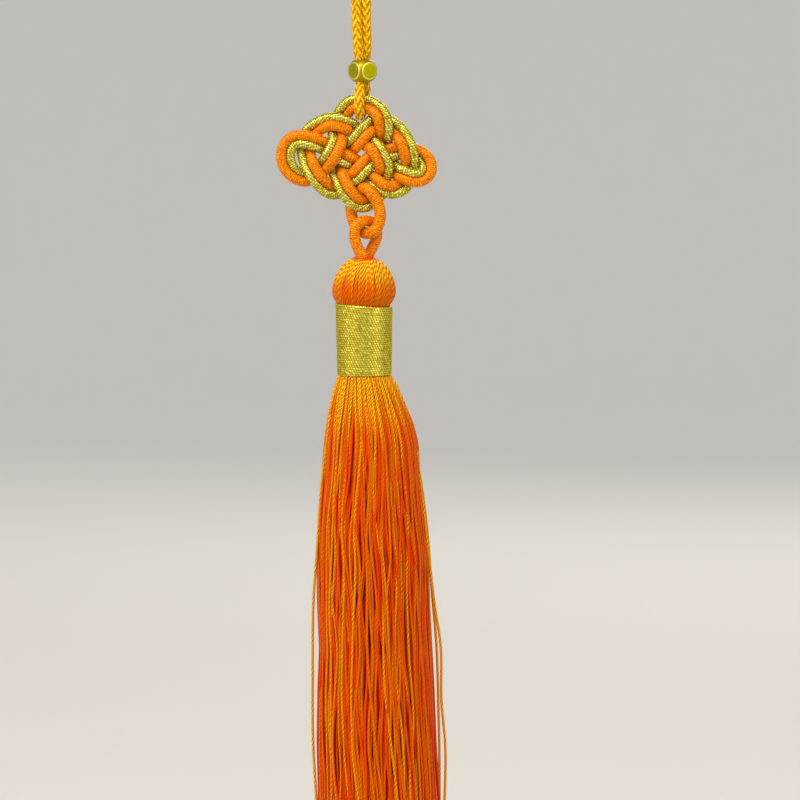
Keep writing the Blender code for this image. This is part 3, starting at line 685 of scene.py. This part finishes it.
# Columns: x, front, z in mm
ringRoute = (
    (0.2, 0.4, -82.0), (1.5, 2.9, -82.0), (2.9, 3.9, -83.4), (3.8, 3.5, -86.2), (3.8, 2.4, -89.2),
    (2.9, 1.3, -91.1), (1.1, 0.2, -91.7), (-0.8, -0.9, -90.9), (-2.1, -2.0, -88.6), (-2.2, -3.2, -85.8),
    (-1.6, -3.7, -83.2), (-0.7, -2.3, -81.9),
)
loopRoute = (
    (0.0, 0.95, -96.8), (-0.6, 1.20, -95.7), (-1.35, 1.55, -94.0), (-1.4, 1.6, -92.2), (-0.8, 1.5, -90.3),
    (0.2, 1.0, -89.1), (1.35, -0.1, -88.9), (2.5, -1.3, -89.9), (2.95, -1.7, -91.8), (2.9, -1.6, -93.6),
    (2.2, -1.20, -95.4), (1.3, -0.95, -96.8),
)
knot = {
    "middleZ": -74.4,
    "lay": 1.0,  # mm, half the spacing at which its cords lie
    "places": 360,  # places along each cord at which it is settled
    "heightTurns": 1500, "pushShare": 0.6,
    "settleTurns": 700, "pushTurns": 2,
    "margin": 0.03,  # mm kept between cords
    "hold": 0.02,  # share of the way back to its start that a place is drawn each turn
    "holdShare": 0.7,  # share of the turns in which it is
    "stiffness": 0.2,
    "smoothing": 0.12,
    "search": 3.6,  # mm within which neighbours are looked for
    "searchEvery": 20,  # turns
    "sameCordSkip": 4.4,  # mm of one cord within which it doesn't press on itself
    "flatten": 0.2,
    "drawnIn": (0.98, 0.97, 0.955),  # x, front and z: the real cords press each other a little flat
    "ringRise": 0.5,  # mm, by which the ring's top follows the lower lobe
    "ringRiseSpan": (-90.5, -84.0),
}
links = {
    "ringPlaces": 44, "ringLay": 1.32, "ringHold": 0.4, "loopPlaces": 33, "loopLay": 1.28, "loopHold": 0.5,
    "hangingPlaces": 304,
}


def shorterWay(one, two, length):
    # Distance between two places along a closed line
    apart = np.abs(one - two) % length
    return np.minimum(apart, length - apart)


def layKnot(look):
    # Both cords lie one lay to each side of the path. Where strands cross, the height difference that keeps
    # them apart is sqrt(reach^2 - distance^2), with the sign of the nearest crossing; the heights are smoothed
    # and pushed apart in turn until they fit.
    place = {name: (x, z) for name, x, z in knotPoints}
    path, places, length = smoothLine([place[name] for name in knotRoute], True, look["places"])
    heading = np.roll(path, -1, 0) - np.roll(path, 1, 0)
    heading /= np.linalg.norm(heading, axis=1)[:, None]
    left = np.stack([-heading[:, 1], heading[:, 0]], 1) * look["lay"]
    flat = np.vstack([path + left, path - left])
    along = np.tile(np.arange(look["places"]) * length / look["places"], 2)
    visits = [(name, places[i]) for i, name in enumerate(knotRoute) if name.startswith("c")]
    over = {name: at for name, at in visits[0::2]}
    under = {name: at for name, at in visits[1::2]}
    pairs = [(over[name], under[name]) for name in over]
    pairs += [(over[upper], under[lower]) for upper, lower in knotStacks]
    reach = 2 * look["lay"]
    apart = np.linalg.norm(flat[:, None] - flat[None], axis=2)
    one, two = np.where(np.triu(apart < reach, 1))
    keep = shorterWay(along[one], along[two], length) > look["sameCordSkip"]
    one, two = one[keep], two[keep]
    nearest = np.full(len(one), np.inf)
    sign = np.zeros(len(one))
    for overAt, underAt in pairs:
        for first, second, value in ((overAt, underAt, 1), (underAt, overAt, -1)):
            cost = shorterWay(along[one], first, length) + shorterWay(along[two], second, length)
            sign = np.where(cost < nearest, value, sign)
            nearest = np.minimum(cost, nearest)
    need = np.sqrt(np.maximum(reach**2 - apart[one, two] ** 2, 0))
    front = np.zeros(len(flat))
    for _ in range(look["heightTurns"]):
        rows = front.reshape(2, -1)
        front = (0.5 * rows + 0.25 * (np.roll(rows, 1, 1) + np.roll(rows, -1, 1))).ravel()
        short = np.maximum(need - sign * (front[one] - front[two]), 0)
        push = np.bincount(one, sign * short, len(front)) - np.bincount(two, sign * short, len(front))
        count = np.bincount(one, short > 0, len(front)) + np.bincount(two, short > 0, len(front))
        front += look["pushShare"] * push / np.maximum(count, 1)
    front -= front.mean()
    cords = np.column_stack([flat[:, 0], front, flat[:, 1] + look["middleZ"]])
    return cords[:look["places"]], cords[look["places"]:]


def settleCords(lines, look):
    # Each turn smooths every line, draws it a little to its start in the front view, and pushes apart points of
    # two cords that are nearer than their lays together, each by half of what is missing.
    counts = [len(line["points"]) for line in lines]
    ends = np.cumsum(counts)
    starts = ends - counts
    points = np.vstack([line["points"] for line in lines])
    home = points.copy()
    owner = np.repeat(np.arange(len(lines)), counts)
    lay = np.array([line["lay"] for line in lines])[owner]
    loose = 1.0 - np.array([line["hold"] for line in lines])[owner][:, None]
    step = np.array([np.linalg.norm(np.diff(line["points"], axis=0), axis=1).mean() for line in lines])[owner]
    order = np.arange(len(points)) - starts[owner]
    size = np.array(counts)[owner]
    closed = np.array([line["closed"] for line in lines])[owner]
    for turn in range(look["settleTurns"]):
        if turn % look["searchEvery"] == 0:
            apart = np.linalg.norm(points[:, None] - points[None], axis=2)
            one, two = np.where(np.triu(apart < look["search"], 1))
            gap = np.abs(order[one] - order[two])
            gap = np.where(closed[one], np.minimum(gap, size[one] - gap), gap)
            keep = (owner[one] != owner[two]) | (gap * step[one] > look["sameCordSkip"])
            one, two = one[keep], two[keep]
        for start, end, line in zip(starts, ends, lines):
            if line["hold"] == 1:
                continue
            rows = points[start:end]
            lap = 0.5 * (np.roll(rows, 1, 0) + np.roll(rows, -1, 0)) - rows
            bend = 0.5 * (np.roll(lap, 1, 0) + np.roll(lap, -1, 0)) - lap
            if not line["closed"]:
                lap[[0, -1]] = 0
                bend[[0, 1, -2, -1]] = 0
            rows = rows - look["stiffness"] * bend
            rows[:, 1] += look["smoothing"] * lap[:, 1]
            points[start:end] = rows
        pull = look["hold"] if turn < look["settleTurns"] * look["holdShare"] else 0.0
        points[:, [0, 2]] += pull * (home[:, [0, 2]] - points[:, [0, 2]])
        points[:, 1] -= look["flatten"] * pull * loose[:, 0] * points[:, 1]
        for _ in range(look["pushTurns"]):
            between = points[one] - points[two]
            distance = np.maximum(np.linalg.norm(between, axis=1), 1e-6)
            short = np.maximum(lay[one] + lay[two] + look["margin"] - distance, 0)
            push = between / distance[:, None] * short[:, None] * 0.5
            count = np.bincount(one, short > 0, len(points)) + np.bincount(two, short > 0, len(points))
            for axis in range(3):
                first, second = (np.bincount(place, push[:, axis], len(points)) for place in (one, two))
                points[:, axis] += loose[:, 0] * (first - second) / np.maximum(count, 1)
    return [points[start:end] for start, end in zip(starts, ends)]


def layCords():
    gold, orange = layKnot(knot)
    hanging, _, _ = smoothLine(hangingRoute, False, links["hangingPlaces"])
    low = hanging[hanging[:, 2] < bead["centre"][2] - bead["halfHeight"]]
    ring, _, _ = smoothLine(ringRoute, True, links["ringPlaces"])
    loop, _, _ = smoothLine(loopRoute, False, links["loopPlaces"])
    lines = [
        {"points": gold, "closed": True, "lay": knot["lay"], "hold": 0.0},
        {"points": orange, "closed": True, "lay": knot["lay"], "hold": 0.0},
        {"points": ring, "closed": True, "lay": links["ringLay"], "hold": links["ringHold"]},
        {"points": loop, "closed": False, "lay": links["loopLay"], "hold": links["loopHold"]},
        {"points": low, "closed": False, "lay": hangingCord["lay"], "hold": 1.0},
    ]
    settled = [fromTable(line) for line in settleCords(lines, knot)[:4]]
    middle = np.array([0, 0, knot["middleZ"]])
    for cord in settled[:2]:
        cord[:] = middle + (cord - middle) * np.array(knot["drawnIn"])
    settled[2][:, 2] += knot["ringRise"] * smoothStep(settled[2][:, 2], *knot["ringRiseSpan"])
    return settled


goldLine, orangeLine, ringLine, loopLine = layCords()
print("cords laid")


# The wound cords: a thread wound closely round a core

windingFullness = 0.95  # how much of a half circle a winding's crown is
goldCord = {"radius": 1.05, "pitch": 0.48, "groove": 0.12, "rowsPerTurn": 6, "columns": 12}
orangeCord = {"radius": 1.19, "pitch": 0.42, "groove": 0.06, "rowsPerTurn": 5, "columns": 12}
ringCord = {"radius": 1.32, "pitch": 0.42, "groove": 0.07, "rowsPerTurn": 6, "columns": 16}
loopCord = {"radius": 1.28, "pitch": 0.42, "groove": 0.07, "rowsPerTurn": 6, "columns": 16}
loopTuck = ((0.15, -0.95, -98.4), (1.15, 0.95, -98.4))  # mm, where the loop's ends go on into the head


def makeWoundCord(name, line, closed, look, material, slot, node):
    # radius = R - groove x rounded dip of the winding count, which is distance / pitch - angle / turn
    length = smoothLine(line, closed, 3)[2]
    turns = round(length / look["pitch"])
    rows, columns = turns * look["rowsPerTurn"], look["columns"]
    path = smoothLine(line, closed, rows)[0]
    winding = np.arange(rows)[:, None] / look["rowsPerTurn"] - np.arange(columns)[None] / columns
    radii = look["radius"] - look["groove"] * roundedDip(winding, windingFullness)
    points = sweepCord(path, radii, closed, planeNormal(line))

    def windingPattern(row, column):
        return row / look["rowsPerTurn"] - column / columns, column / columns

    corners, faces, uv = cordFaces(points[None], closed, windingPattern)
    piece = addPiece(name, corners, faces, uv, material)
    placePiece(piece, slot, node)


makeWoundCord("knot_cord_gold_wound", goldLine, True, goldCord, goldWinding, "gold_thread", "knot_cord_gold")
makeWoundCord("knot_cord_orange_wound", orangeLine, True, orangeCord, orangeWinding, "orange_wrapped_cord",
              "knot_cord_orange")
makeWoundCord("link_ring_wound", ringLine, True, ringCord, orangeWinding, "orange_wrapped_cord", "link_ring")
tuckedLoop = np.vstack([loopTuck[:1], loopLine, loopTuck[1:]])
makeWoundCord("tassel_loop_wound", tuckedLoop, False, loopCord, orangeWinding, "orange_wrapped_cord",
              "tassel_loop")
print("wound cords made")


# The neck band

neck = {
    "topZ": -107.7, "bottomZ": -123.3, "topRadius": 6.35, "bottomRadius": 6.05, "inside": 5.65,
    "topX": 0.45, "bottomX": 0.55,
    "topTilt": 0.45,  # mm, the top edge is higher on the left by this
    "tiltSpan": (0.2, 1.0),  # shares of the height between which the tilt grows
    "pitch": 0.50, "groove": 0.08, "rowsPerTurn": 6, "columns": 168,
    "edge": 0.16, "edgeSpan": 0.35, "lip": 0.02,  # mm, how far the edges draw in, and over what height
}


def neckX(z):
    # The neck's axis leans a little
    return np.interp(z, [neck["bottomZ"], neck["topZ"]], [neck["bottomX"], neck["topX"]])


def makeNeckBand(look):
    # The outside is a helix of windings on a cone; the rows then turn in at the top and go back down inside
    turns = round((look["topZ"] - look["bottomZ"]) / look["pitch"])
    rows, columns = turns * look["rowsPerTurn"] + 1, look["columns"]
    angle = 2 * np.pi * np.arange(columns)[None] / columns
    share = np.linspace(0, 1, rows)[:, None]
    winding = share * turns - angle / (2 * np.pi)
    radii = look["bottomRadius"] + (look["topRadius"] - look["bottomRadius"]) * share
    radii = radii - look["groove"] * roundedDip(winding, windingFullness)
    fromEdge = np.minimum(share, 1 - share) * (look["topZ"] - look["bottomZ"])
    radii = radii - look["edge"] * (1 - smoothStep(fromEdge, 0, look["edgeSpan"]))
    tilt = -look["topTilt"] * np.sin(angle) * smoothStep(share, *look["tiltSpan"])
    heights = look["bottomZ"] + share * (look["topZ"] - look["bottomZ"]) + tilt
    inside = np.full((2, columns), look["inside"])
    insideZ = np.vstack([heights[-1:] - look["lip"], heights[:1] + look["lip"]])
    radii, heights = np.vstack([radii, inside]), np.vstack([heights, insideZ])
    points = np.stack([neckX(heights) + radii * np.sin(angle), -radii * np.cos(angle), heights], -1)
    row, column = gridCells(rows + 2, columns, True, True)
    faces = (row % (rows + 2)) * columns + column % columns
    uv = np.stack([row / look["rowsPerTurn"] - column / columns, column / columns], -1).reshape(-1, 2)
    piece = addPiece("neck_band_winding", points.reshape(-1, 3), [faces], uv, bandWinding)
    placePiece(piece, "gold_thread", "neck_band")


makeNeckBand(neck)


# The tassel's head: yarns folded over the loop and drawn down into the neck

# Columns: z, radius in mm, of the yarns' outer side
headProfile = (
    (-96.9, 1.7), (-97.3, 2.5), (-97.75, 3.4), (-98.8, 4.75), (-100.2, 5.75), (-102.0, 6.6), (-104.2, 7.05),
    (-106.0, 6.85), (-107.35, 6.1), (-108.6, 5.5),
)
head = {
    "yarns": 96,
    "yarnRadius": 0.33,
    "thickness": (0.9, 1.08),  # range of the yarns' thickness as share of that
    "baseJitter": 0.08,  # share of the spacing by which a yarn is off its place
    "plies": 3,
    "ripple": 0.07,  # share of its radius by which the plies stand out
    "plyPitch": 4.0,  # mm along the yarn for a whole turn of the twist
    "rows": 88,
    "columns": 8,
    "swirl": 0.10, "swirlPower": 1.5,  # radians by which a yarn winds round the head, most at the top
    "stray": 0.035, "strayWaves": 1.2,
    "sinkDepth": (0.0, 0.12, 0.24), # mm, how deep every third yarn starts
    "sinkFrom": 2.0,  # mm, the radius from which it rises
    "sinkRadius": (0.1, 3.9, 5.1),  # mm, where it has risen to the surface
    "baseTone": 0.15, "toneSpread": 0.3,
    "paintedSideShade": 0.7,  # how much deeper the yarns' sides are painted than their crowns: painted shade
    "heart": (0.45, 0.0, -104.5),  # mm, the middle that the yarns face away from
    "glow": 1.25,  # how much lighter the top is painted than the underside: painted light from above
    "glowSpan": (-104.8, -98.6),
    "shade": (0.65, 2.4, 3.9, 1.6), # mm: the loop's x, the painted shade's inner and outer reach; how deep it is
    "seed": 11,
    # coreTone paints the hidden bundle deep red: painted shade under the yarns
    "coreInset": 0.3, "coreDrop": 0.1, "coreColumns": 48, "coreTone": -0.8,
    "coreTop": (0.05, -97.7),  # radius, z in mm
    "coreFoot": ((5.0, -110.0), (4.9, -122.0), (0.05, -122.4)),
}


def twistedRadii(radius, angle, along, look, phase):
    # radius (1 + ripple cos(plies (a - 2 pi s / pitch + phase)))
    turn = angle - 2 * np.pi * along / look["plyPitch"] + phase
    return radius * (1 + look["ripple"] * np.cos(look["plies"] * turn))


def makeHead(look):
    # Each yarn follows the outline from the top, set in by its inset, at its own angle round the neck's axis
    random = np.random.RandomState(look["seed"])
    outline, _, length = smoothLine([(r, z) for z, r in headProfile], False, look["rows"])
    count = look["yarns"]
    t = np.linspace(0, 1, look["rows"])
    jitter = random.uniform(-look["baseJitter"], look["baseJitter"], count)
    base = 2 * np.pi * (np.arange(count) + jitter) / count
    drift = look["swirl"] * (1 - t[None]) ** look["swirlPower"]
    sway = look["stray"] * random.uniform(-1, 1, (count, 1)) * np.sin(np.pi * t[None] * look["strayWaves"])
    theta = base[:, None] + drift + sway
    layer = np.arange(count) % 3
    depth = np.array(look["sinkDepth"])[layer][:, None]
    risen = smoothStep(outline[None, :, 0], look["sinkFrom"], np.array(look["sinkRadius"])[layer][:, None])
    thick = look["yarnRadius"] * random.uniform(*look["thickness"], (count, 1))
    slope = np.gradient(outline, axis=0)
    slope /= np.linalg.norm(slope, axis=1)[:, None]
    inward = thick + depth * (1 - risen)
    reach = outline[None, :, 0] + slope[None, :, 1] * inward
    height = outline[None, :, 1] - slope[None, :, 0] * inward
    path = np.stack([neckX(height) + reach * np.sin(theta), -reach * np.cos(theta), height], -1)
    angle = 2 * np.pi * np.arange(look["columns"]) / look["columns"]
    phase = random.uniform(0, 2 * np.pi, (count, 1, 1))
    along = (t * length)[None, :, None]
    radii = twistedRadii(thick[..., None], angle[None, None], along, look, phase)
    reference = np.stack([np.cos(theta), np.sin(theta), 0 * theta], -1)
    points = sweepCord(path, radii, False, reference)

    def plyPattern(row, column):
        turn = column / look["columns"] - row * length / (look["rows"] - 1) / look["plyPitch"]
        return look["plies"] * turn, row

    corners, faces, uv = cordFaces(points, False, plyPattern)
    perYarn = (look["rows"] - 1) * look["columns"] * 4
    uv[:count * perYarn, 0] += np.repeat(look["plies"] * phase[:, 0, 0] / (2 * np.pi) + 0.5, perYarn)
    tones = perPoint(random.uniform(-look["toneSpread"], look["toneSpread"], count) + look["baseTone"], points)
    # Painted shade on the yarns' sides, where they turn in between neighbours
    tones[:points.size // 3] += look["paintedSideShade"] * paintedSideShades(points, path, path - np.array(look["heart"]))
    # Painted light: the top of the head is lighter
    tones += look["glow"] * smoothStep(corners[:, 2], *look["glowSpan"])
    # Painted shade round the loop's legs where they go into the head
    loopX, near, far, amount = look["shade"]
    tones -= amount * (1 - smoothStep(np.hypot(corners[:, 0] - loopX, corners[:, 1]), near, far))
    piece = addPiece("tassel_head_yarns", corners, faces, uv, tasselYarn, tones)
    placePiece(piece, "tassel_yarn", "tassel_yarn")


def makeHeadCore(look):
    # The bundle under the visible yarns: the head's outline turned round the neck's axis, smaller by an inset
    sides = [(r - look["coreInset"], z - look["coreDrop"]) for z, r in headProfile[2:]]
    outline = np.array([look["coreTop"], *sides, *look["coreFoot"]])[::-1]
    angle = 2 * np.pi * np.arange(look["coreColumns"])[None] / look["coreColumns"]
    radius, height = outline[:, :1], outline[:, 1:] + 0 * angle
    points = np.stack([neckX(height) + radius * np.sin(angle), -radius * np.cos(angle), height], -1)
    corners, faces, uv = cordFaces(points[None], False, lambda row, column: (column / 2 + 0.25, row))
    # Its low tone is painted shade
    piece = addPiece("tassel_head_core", corners, faces, uv, tasselYarn,
                     np.full(len(corners), look["coreTone"]))
    placePiece(piece, "tassel_yarn", "tassel_yarn")


makeHead(head)
makeHeadCore(head)


# The skirt: yarns that fall from the neck, spread, cross and part

# Columns: z, left edge, right edge in mm, from the front
skirtEdges = (
    (-122.3, -4.8, 5.8), (-123.6, -5.75, 6.75), (-125.0, -6.2, 7.9), (-127.8, -7.0, 9.2), (-130.0, -7.5, 10.1),
    (-134.0, -8.35, 11.8), (-138.4, -8.9, 12.9), (-144.0, -9.25, 13.2), (-151.0, -9.95, 13.8),
    (-157.3, -10.4, 14.4), (-163.6, -10.4, 15.1), (-175.0, -10.35, 15.4), (-184.4, -9.9, 15.8),
    (-194.0, -10.3, 16.3), (-206.0, -10.5, 16.8), (-217.0, -10.3, 17.6), (-228.6, -10.3, 18.2),
)
skirt = {
    "depthShare": 0.9,  # the skirt's depth as share of its width
    "roundDrop": 6.0,  # mm below the root where it has that depth
    "rootZ": -122.3, "endZ": (-228.4, -224.8),
    "fallPower": 1.12,  # puts more rows near the root
    "yarnRadius": 0.30,
    "thickness": (0.88, 1.1),  # range of the yarns' thickness as share of that
    "rootThickness": 0.9, "swellDrop": 12.0,
    "baseJitter": 0.015,  # radians
    "plies": 3,
    "plyPitch": 2.5,
    "glowCrowns": 0.7,  # share of that painted light which only the crowns have
    "paintedSideShade": 1.0,  # how much deeper the yarns' sides are painted than their crowns: painted shade
    "stray": 0.14,  # radians by which a yarn wanders round the skirt by its end
    "strayIn": 0.035,  # share of the skirt's width by which it wanders in and out
    "uneven": 0.025,  # share of the width by which a yarn may lie deeper than its layer
    "soften": 0.03,  # how softly a yarn's reach stops at the outline
    "parting": 0.007,  # radians by which neighbouring yarns part together in each of the waves
    "partingWaves": (10, 13, 16, 19, 22, 25), "partingTurn": 3.0, "partingSpan": (0.1, 0.8),
    "sink": 0.45,  # mm, how deep every other yarn starts
    "sinkSpan": (2.0, 22.0),  # mm below the root between which it rises
    "loosening": 0.7,  # plies by which the twist runs ahead and behind along a yarn
    "looseningRate": 0.8,  # radians a mm
    # Waves: lowest and highest number along a yarn, and share of the stray
    "wavesRound": ((0.3, 0.9, 0.85), (1.4, 2.6, 0.42), (3.0, 4.8, 0.16)),
    "wavesIn": ((0.3, 1.0, 0.8), (1.5, 3.0, 0.35)),
    "waveSize": (0.4, 1.0), "waveSpan": (-0.08, 0.45),
    "glow": 1.2,  # how much lighter the yarn is painted where it spreads from the neck: painted light from above
    "glowSpan": (-138.0, -124.0),
    "seed": 23,
}

# Columns: piece, its layers as share of the skirt's width and number of yarns, rows, columns, range of tones,
# random from yarn to yarn and lower in the deeper pieces: painted shade
skirtLayers = (
    ("skirt_yarns_outer", ((0.99, 98), (0.965, 96)), 63, 8, (-0.5, 0.9)),
    ("skirt_yarns_middle", ((0.94, 104), (0.91, 100), (0.87, 92)), 40, 6, (-0.8, 0.3)),
    ("skirt_yarns_inner", ((0.83, 104), (0.74, 72), (0.60, 46), (0.46, 32), (0.3, 18), (0.1, 6)), 22, 4,
     (-0.7, -0.2)),
)

# Single yarns that hang loose outside the rest. Columns: x, front, z in mm
strayRoutes = (
    ((-7.0, 2.6, -132.0), (-9.2, 2.8, -150.0), (-10.2, 3.0, -165.0), (-10.75, 2.6, -172.0),
     (-10.98, 2.3, -180.0), (-11.05, 2.2, -192.0), (-10.95, 2.0, -206.0), (-10.4, 2.0, -216.0),
     (-9.9, 2.0, -226.4)),
    ((12.2, 1.8, -140.0), (14.2, 1.6, -158.0), (15.24, 1.5, -166.9), (16.38, 1.5, -176.0), (17.56, 1.5, -184.4),
     (17.67, 1.5, -195.6), (18.5, 1.5, -205.1), (18.44, 1.5, -217.6), (18.3, 1.5, -227.4)),
    ((11.6, -1.0, -138.0), (14.5, -1.0, -158.0), (15.6, -1.2, -172.0), (16.6, -1.2, -184.0),
     (17.0, -1.0, -196.0), (17.3, -1.0, -210.0), (17.2, -1.0, -225.8)),
    ((1.5, -8.2, -132.0), (1.9, -9.9, -146.0), (2.2, -11.2, -160.0), (2.8, -12.6, -176.0),
     (3.0, -13.3, -192.0), (2.5, -13.5, -208.0), (2.0, -13.3, -226.6)),
)
# The stray yarns' high tones are painted light, with little painted shade on their sides
strayLook = {"rows": 60, "columns": 8, "toneRange": (0.9, 1.1), "paintedSideShade": 0.1}


def skirtOutline(z):
    # The skirt's middle, half width and half depth at a height
    table = np.array(skirtEdges)[::-1]
    left, right = (np.interp(z, table[:, 0], table[:, k]) for k in (1, 2))
    half = (right - left) / 2
    blend = np.clip((skirt["rootZ"] - z) / skirt["roundDrop"], 0, 1)
    return (left + right) / 2, half, half * (1 + (skirt["depthShare"] - 1) * blend)


def wander(random, count, t, waves):
    # A sum of sine waves along each yarn with its own phases, growing from nothing at the root
    total = 0
    for low, high, size in waves:
        rate = random.uniform(low, high, (count, 1))
        phase = random.uniform(0, 2 * np.pi, (count, 1))
        total = total + size * random.uniform(*skirt["waveSize"], (count, 1)) * (
            np.sin(2 * np.pi * rate * t + phase) - np.sin(phase))
    return total * smoothStep(t, *skirt["waveSpan"])


def addYarns(name, path, radii, toneRange, look, random):
    # Round tubes along the paths. u counts plies: plies (angle / turn - fall / pitch); v is the fall in mm.
    count, rows, _ = path.shape
    columns = radii.shape[-1]
    points = sweepCord(path, radii, False, np.array([0.0, 1.0, 0.0]))
    fall = look["rootZ"] - path[0, :, 2]

    def plyPattern(row, column):
        return look["plies"] * (column / columns - fall[row] / look["plyPitch"]), fall[row]

    corners, faces, uv = cordFaces(points, False, plyPattern)
    perYarn = (rows - 1) * columns * 4
    tube = slice(0, count * perYarn)
    start, turn = random.uniform(0, 2 * np.pi, (2, count))
    uv[tube, 0] += np.repeat(start, perYarn)
    uv[tube, 0] += look["loosening"] * np.sin(look["looseningRate"] * uv[tube, 1] + np.repeat(turn, perYarn))
    outward = path.copy()
    outward[..., 0] -= skirtOutline(path[..., 2])[0]
    outward[..., 2] = 0
    tones = perPoint(random.uniform(*toneRange, count), points)
    # Painted light where the skirt spreads from the neck, most on the crowns, and painted shade on the yarns'
    # sides
    glow = look["glow"] * smoothStep(corners[:, 2], *look["glowSpan"])
    sides = points.size // 3
    tones += glow
    tones[:sides] += (look["paintedSideShade"] + look["glowCrowns"] * glow[:sides]) * paintedSideShades(points, path, outward)
    piece = addPiece(name, corners, faces, uv, tasselYarn, tones)
    placePiece(piece, "tassel_yarn", "tassel_yarn")


def makeSkirtYarns(name, layers, rows, columns, toneRange, look, random):
    # At height z a yarn's middle is (half width - inset) reach sin(theta) to the side of the skirt's middle and
    # (half depth - inset) reach cos(theta) to the front; theta and reach wander by sums of sine waves
    share = np.concatenate([np.full(number, value) for value, number in layers])
    base = np.concatenate([
        2 * np.pi * (np.arange(number) + random.uniform(0, 1)) / number for _, number in layers])
    count = len(share)
    base = base + random.uniform(-look["baseJitter"], look["baseJitter"], count)
    share = share - random.uniform(0, look["uneven"], count)
    t = np.linspace(0, 1, rows)[None]
    end = random.uniform(*look["endZ"], (count, 1))
    z = look["rootZ"] + (end - look["rootZ"]) * t ** look["fallPower"]
    theta = base[:, None] + look["stray"] * wander(random, count, t, look["wavesRound"])
    for number in look["partingWaves"]:
        phase = random.uniform(0, 2 * np.pi, 2)
        swing = np.sin(number * base[:, None] + phase[0] + look["partingTurn"] * t * math.sin(phase[1]))
        theta = theta + look["parting"] * swing * smoothStep(t, *look["partingSpan"])
    reach = share[:, None] * (1 + look["strayIn"] * wander(random, count, t, look["wavesIn"]))
    reach = 1 - look["soften"] * np.log1p(np.exp((1 - reach) / look["soften"]))
    middle, half, depth = skirtOutline(z)
    thick = look["yarnRadius"] * random.uniform(*look["thickness"], (count, 1))
    fall = look["rootZ"] - z
    sunk = (np.arange(count) % 2)[:, None] * look["sink"] * (1 - smoothStep(fall, *look["sinkSpan"]))
    path = np.stack([middle + (half - thick - sunk) * reach * np.sin(theta),
                     -(depth - thick - sunk) * reach * np.cos(theta), z], -1)
    swell = look["rootThickness"] + (1 - look["rootThickness"]) * smoothStep(fall, 0, look["swellDrop"])
    addYarns(name, path, (thick * swell)[..., None] * np.ones(columns), toneRange, look, random)


def makeStrayYarns(routes, look, random):
    path = np.stack([smoothLine(fromTable(route), False, strayLook["rows"])[0] for route in routes])
    radii = np.full((*path.shape[:2], strayLook["columns"]), look["yarnRadius"])
    looser = {**look, "paintedSideShade": strayLook["paintedSideShade"]}
    addYarns("skirt_yarns_stray", path, radii, strayLook["toneRange"], looser, random)


skirtRandom = np.random.RandomState(skirt["seed"])
for name, layers, rows, columns, toneRange in skirtLayers:
    makeSkirtYarns(name, layers, rows, columns, toneRange, skirt, skirtRandom)
makeStrayYarns(strayRoutes, skirt, skirtRandom)
print("tassel yarn made")


# The floor and the light: a pale bowl that reads as plain paper from every side

studio = {
    "floorZ": -0.262, "floorRadius": 1.6, "bend": 1.8, "wallTop": 2.2, "worldColour": "#F6F7FA",
    "worldStrength": 0.52, "floorPaper": "#D6D4D0", "wallPaper": "#FAF8F4",
    "paperSpan": (0.45, 1.5),  # m out and up between which the floor's paper turns into the wall's
    "hub": 0.01, "floorRows": 11, "bendRows": 24, "columns": 96,
}
# Columns: name, place in metres, aims at, width in metres, watts, colour
softLights = (
    ("left_softbox", (-0.80, -0.56, 0.40), (0.0, 0.0, -0.13), 0.40, 5.2, "#FFF4E2"),
    ("right_softbox", (0.84, -0.52, 0.24), (0.0, 0.0, -0.13), 0.40, 2.7, "#FFF8EE"),
    ("top_softbox", (-0.16, -0.60, 0.72), (0.0, 0.0, -0.10), 0.40, 5.6, "#FFF8EE"),
    ("back_softbox", (0.20, 0.85, 0.42), (0.0, 0.0, -0.12), 0.50, 2.8, "#FFF8EE"),
)


def makeStage(look):
    # A profile turned round the vertical: a flat floor, a quarter circle, then a wall
    bend = np.linspace(0, np.pi / 2, look["bendRows"])
    floorRows, columns = look["floorRows"], look["columns"]
    radius = np.concatenate([np.linspace(look["hub"], look["floorRadius"], floorRows + 1)[:-1],
                             look["floorRadius"] + look["bend"] * np.sin(bend),
                             [look["floorRadius"] + look["bend"]]])
    rise = np.concatenate([np.zeros(floorRows), look["bend"] * (1 - np.cos(bend)), [look["wallTop"]]])
    height = rise + look["floorZ"]
    angle = 2 * np.pi * np.arange(columns)[None] / columns
    points = np.stack([radius[:, None] * np.sin(angle), -radius[:, None] * np.cos(angle),
                       height[:, None] + 0 * angle], -1) / mm
    row, column = gridCells(len(radius), columns, False, True)
    faces = row * columns + column % columns
    material, shader, add = newFinish("matt_paper_graded", {"Roughness": 0.9, "Specular IOR Level": 0.2})
    away = add("Attribute", {"attribute_name": "tone"}).outputs["Fac"]
    paper = add("Mix RGBA", {0: away, 6: look["floorPaper"], 7: look["wallPaper"]})
    setNode(material, shader, {"Base Color": paper})
    hub = np.arange(columns)[None, ::-1]
    uv = np.zeros((faces.size + hub.size, 2))
    tones = np.repeat(smoothStep(radius + height - look["floorZ"], *look["paperSpan"]), columns)
    backdrop = addPiece("paper_backdrop", points.reshape(-1, 3), [faces[:, ::-1], hub[:, ::-1]], uv, material,
                        tones)


def addSoftLight(name, place, aim, width, watts, colour):
    data = bpy.data.lights.new(name, "AREA")
    data.shape = "DISK"
    data.size = width
    data.energy = watts
    data.color = linearColour(colour)[:3]
    lamp = bpy.data.objects.new(name, data)
    lamp.location = place
    lamp.rotation_euler = (Vector(aim) - Vector(place)).to_track_quat("-Z", "Y").to_euler()
    lamp.visible_camera = False
    bpy.context.scene.collection.objects.link(lamp)


def lightWorld(look):
    world = bpy.data.worlds.new("pale_room")
    world.use_nodes = True
    sky = world.node_tree.nodes["Background"]
    sky.inputs["Color"].default_value = linearColour(look["worldColour"])
    sky.inputs["Strength"].default_value = look["worldStrength"]
    bpy.context.scene.world = world


makeStage(studio)
for row in softLights:
    addSoftLight(*row)
lightWorld(studio)
print("stage and lights made")
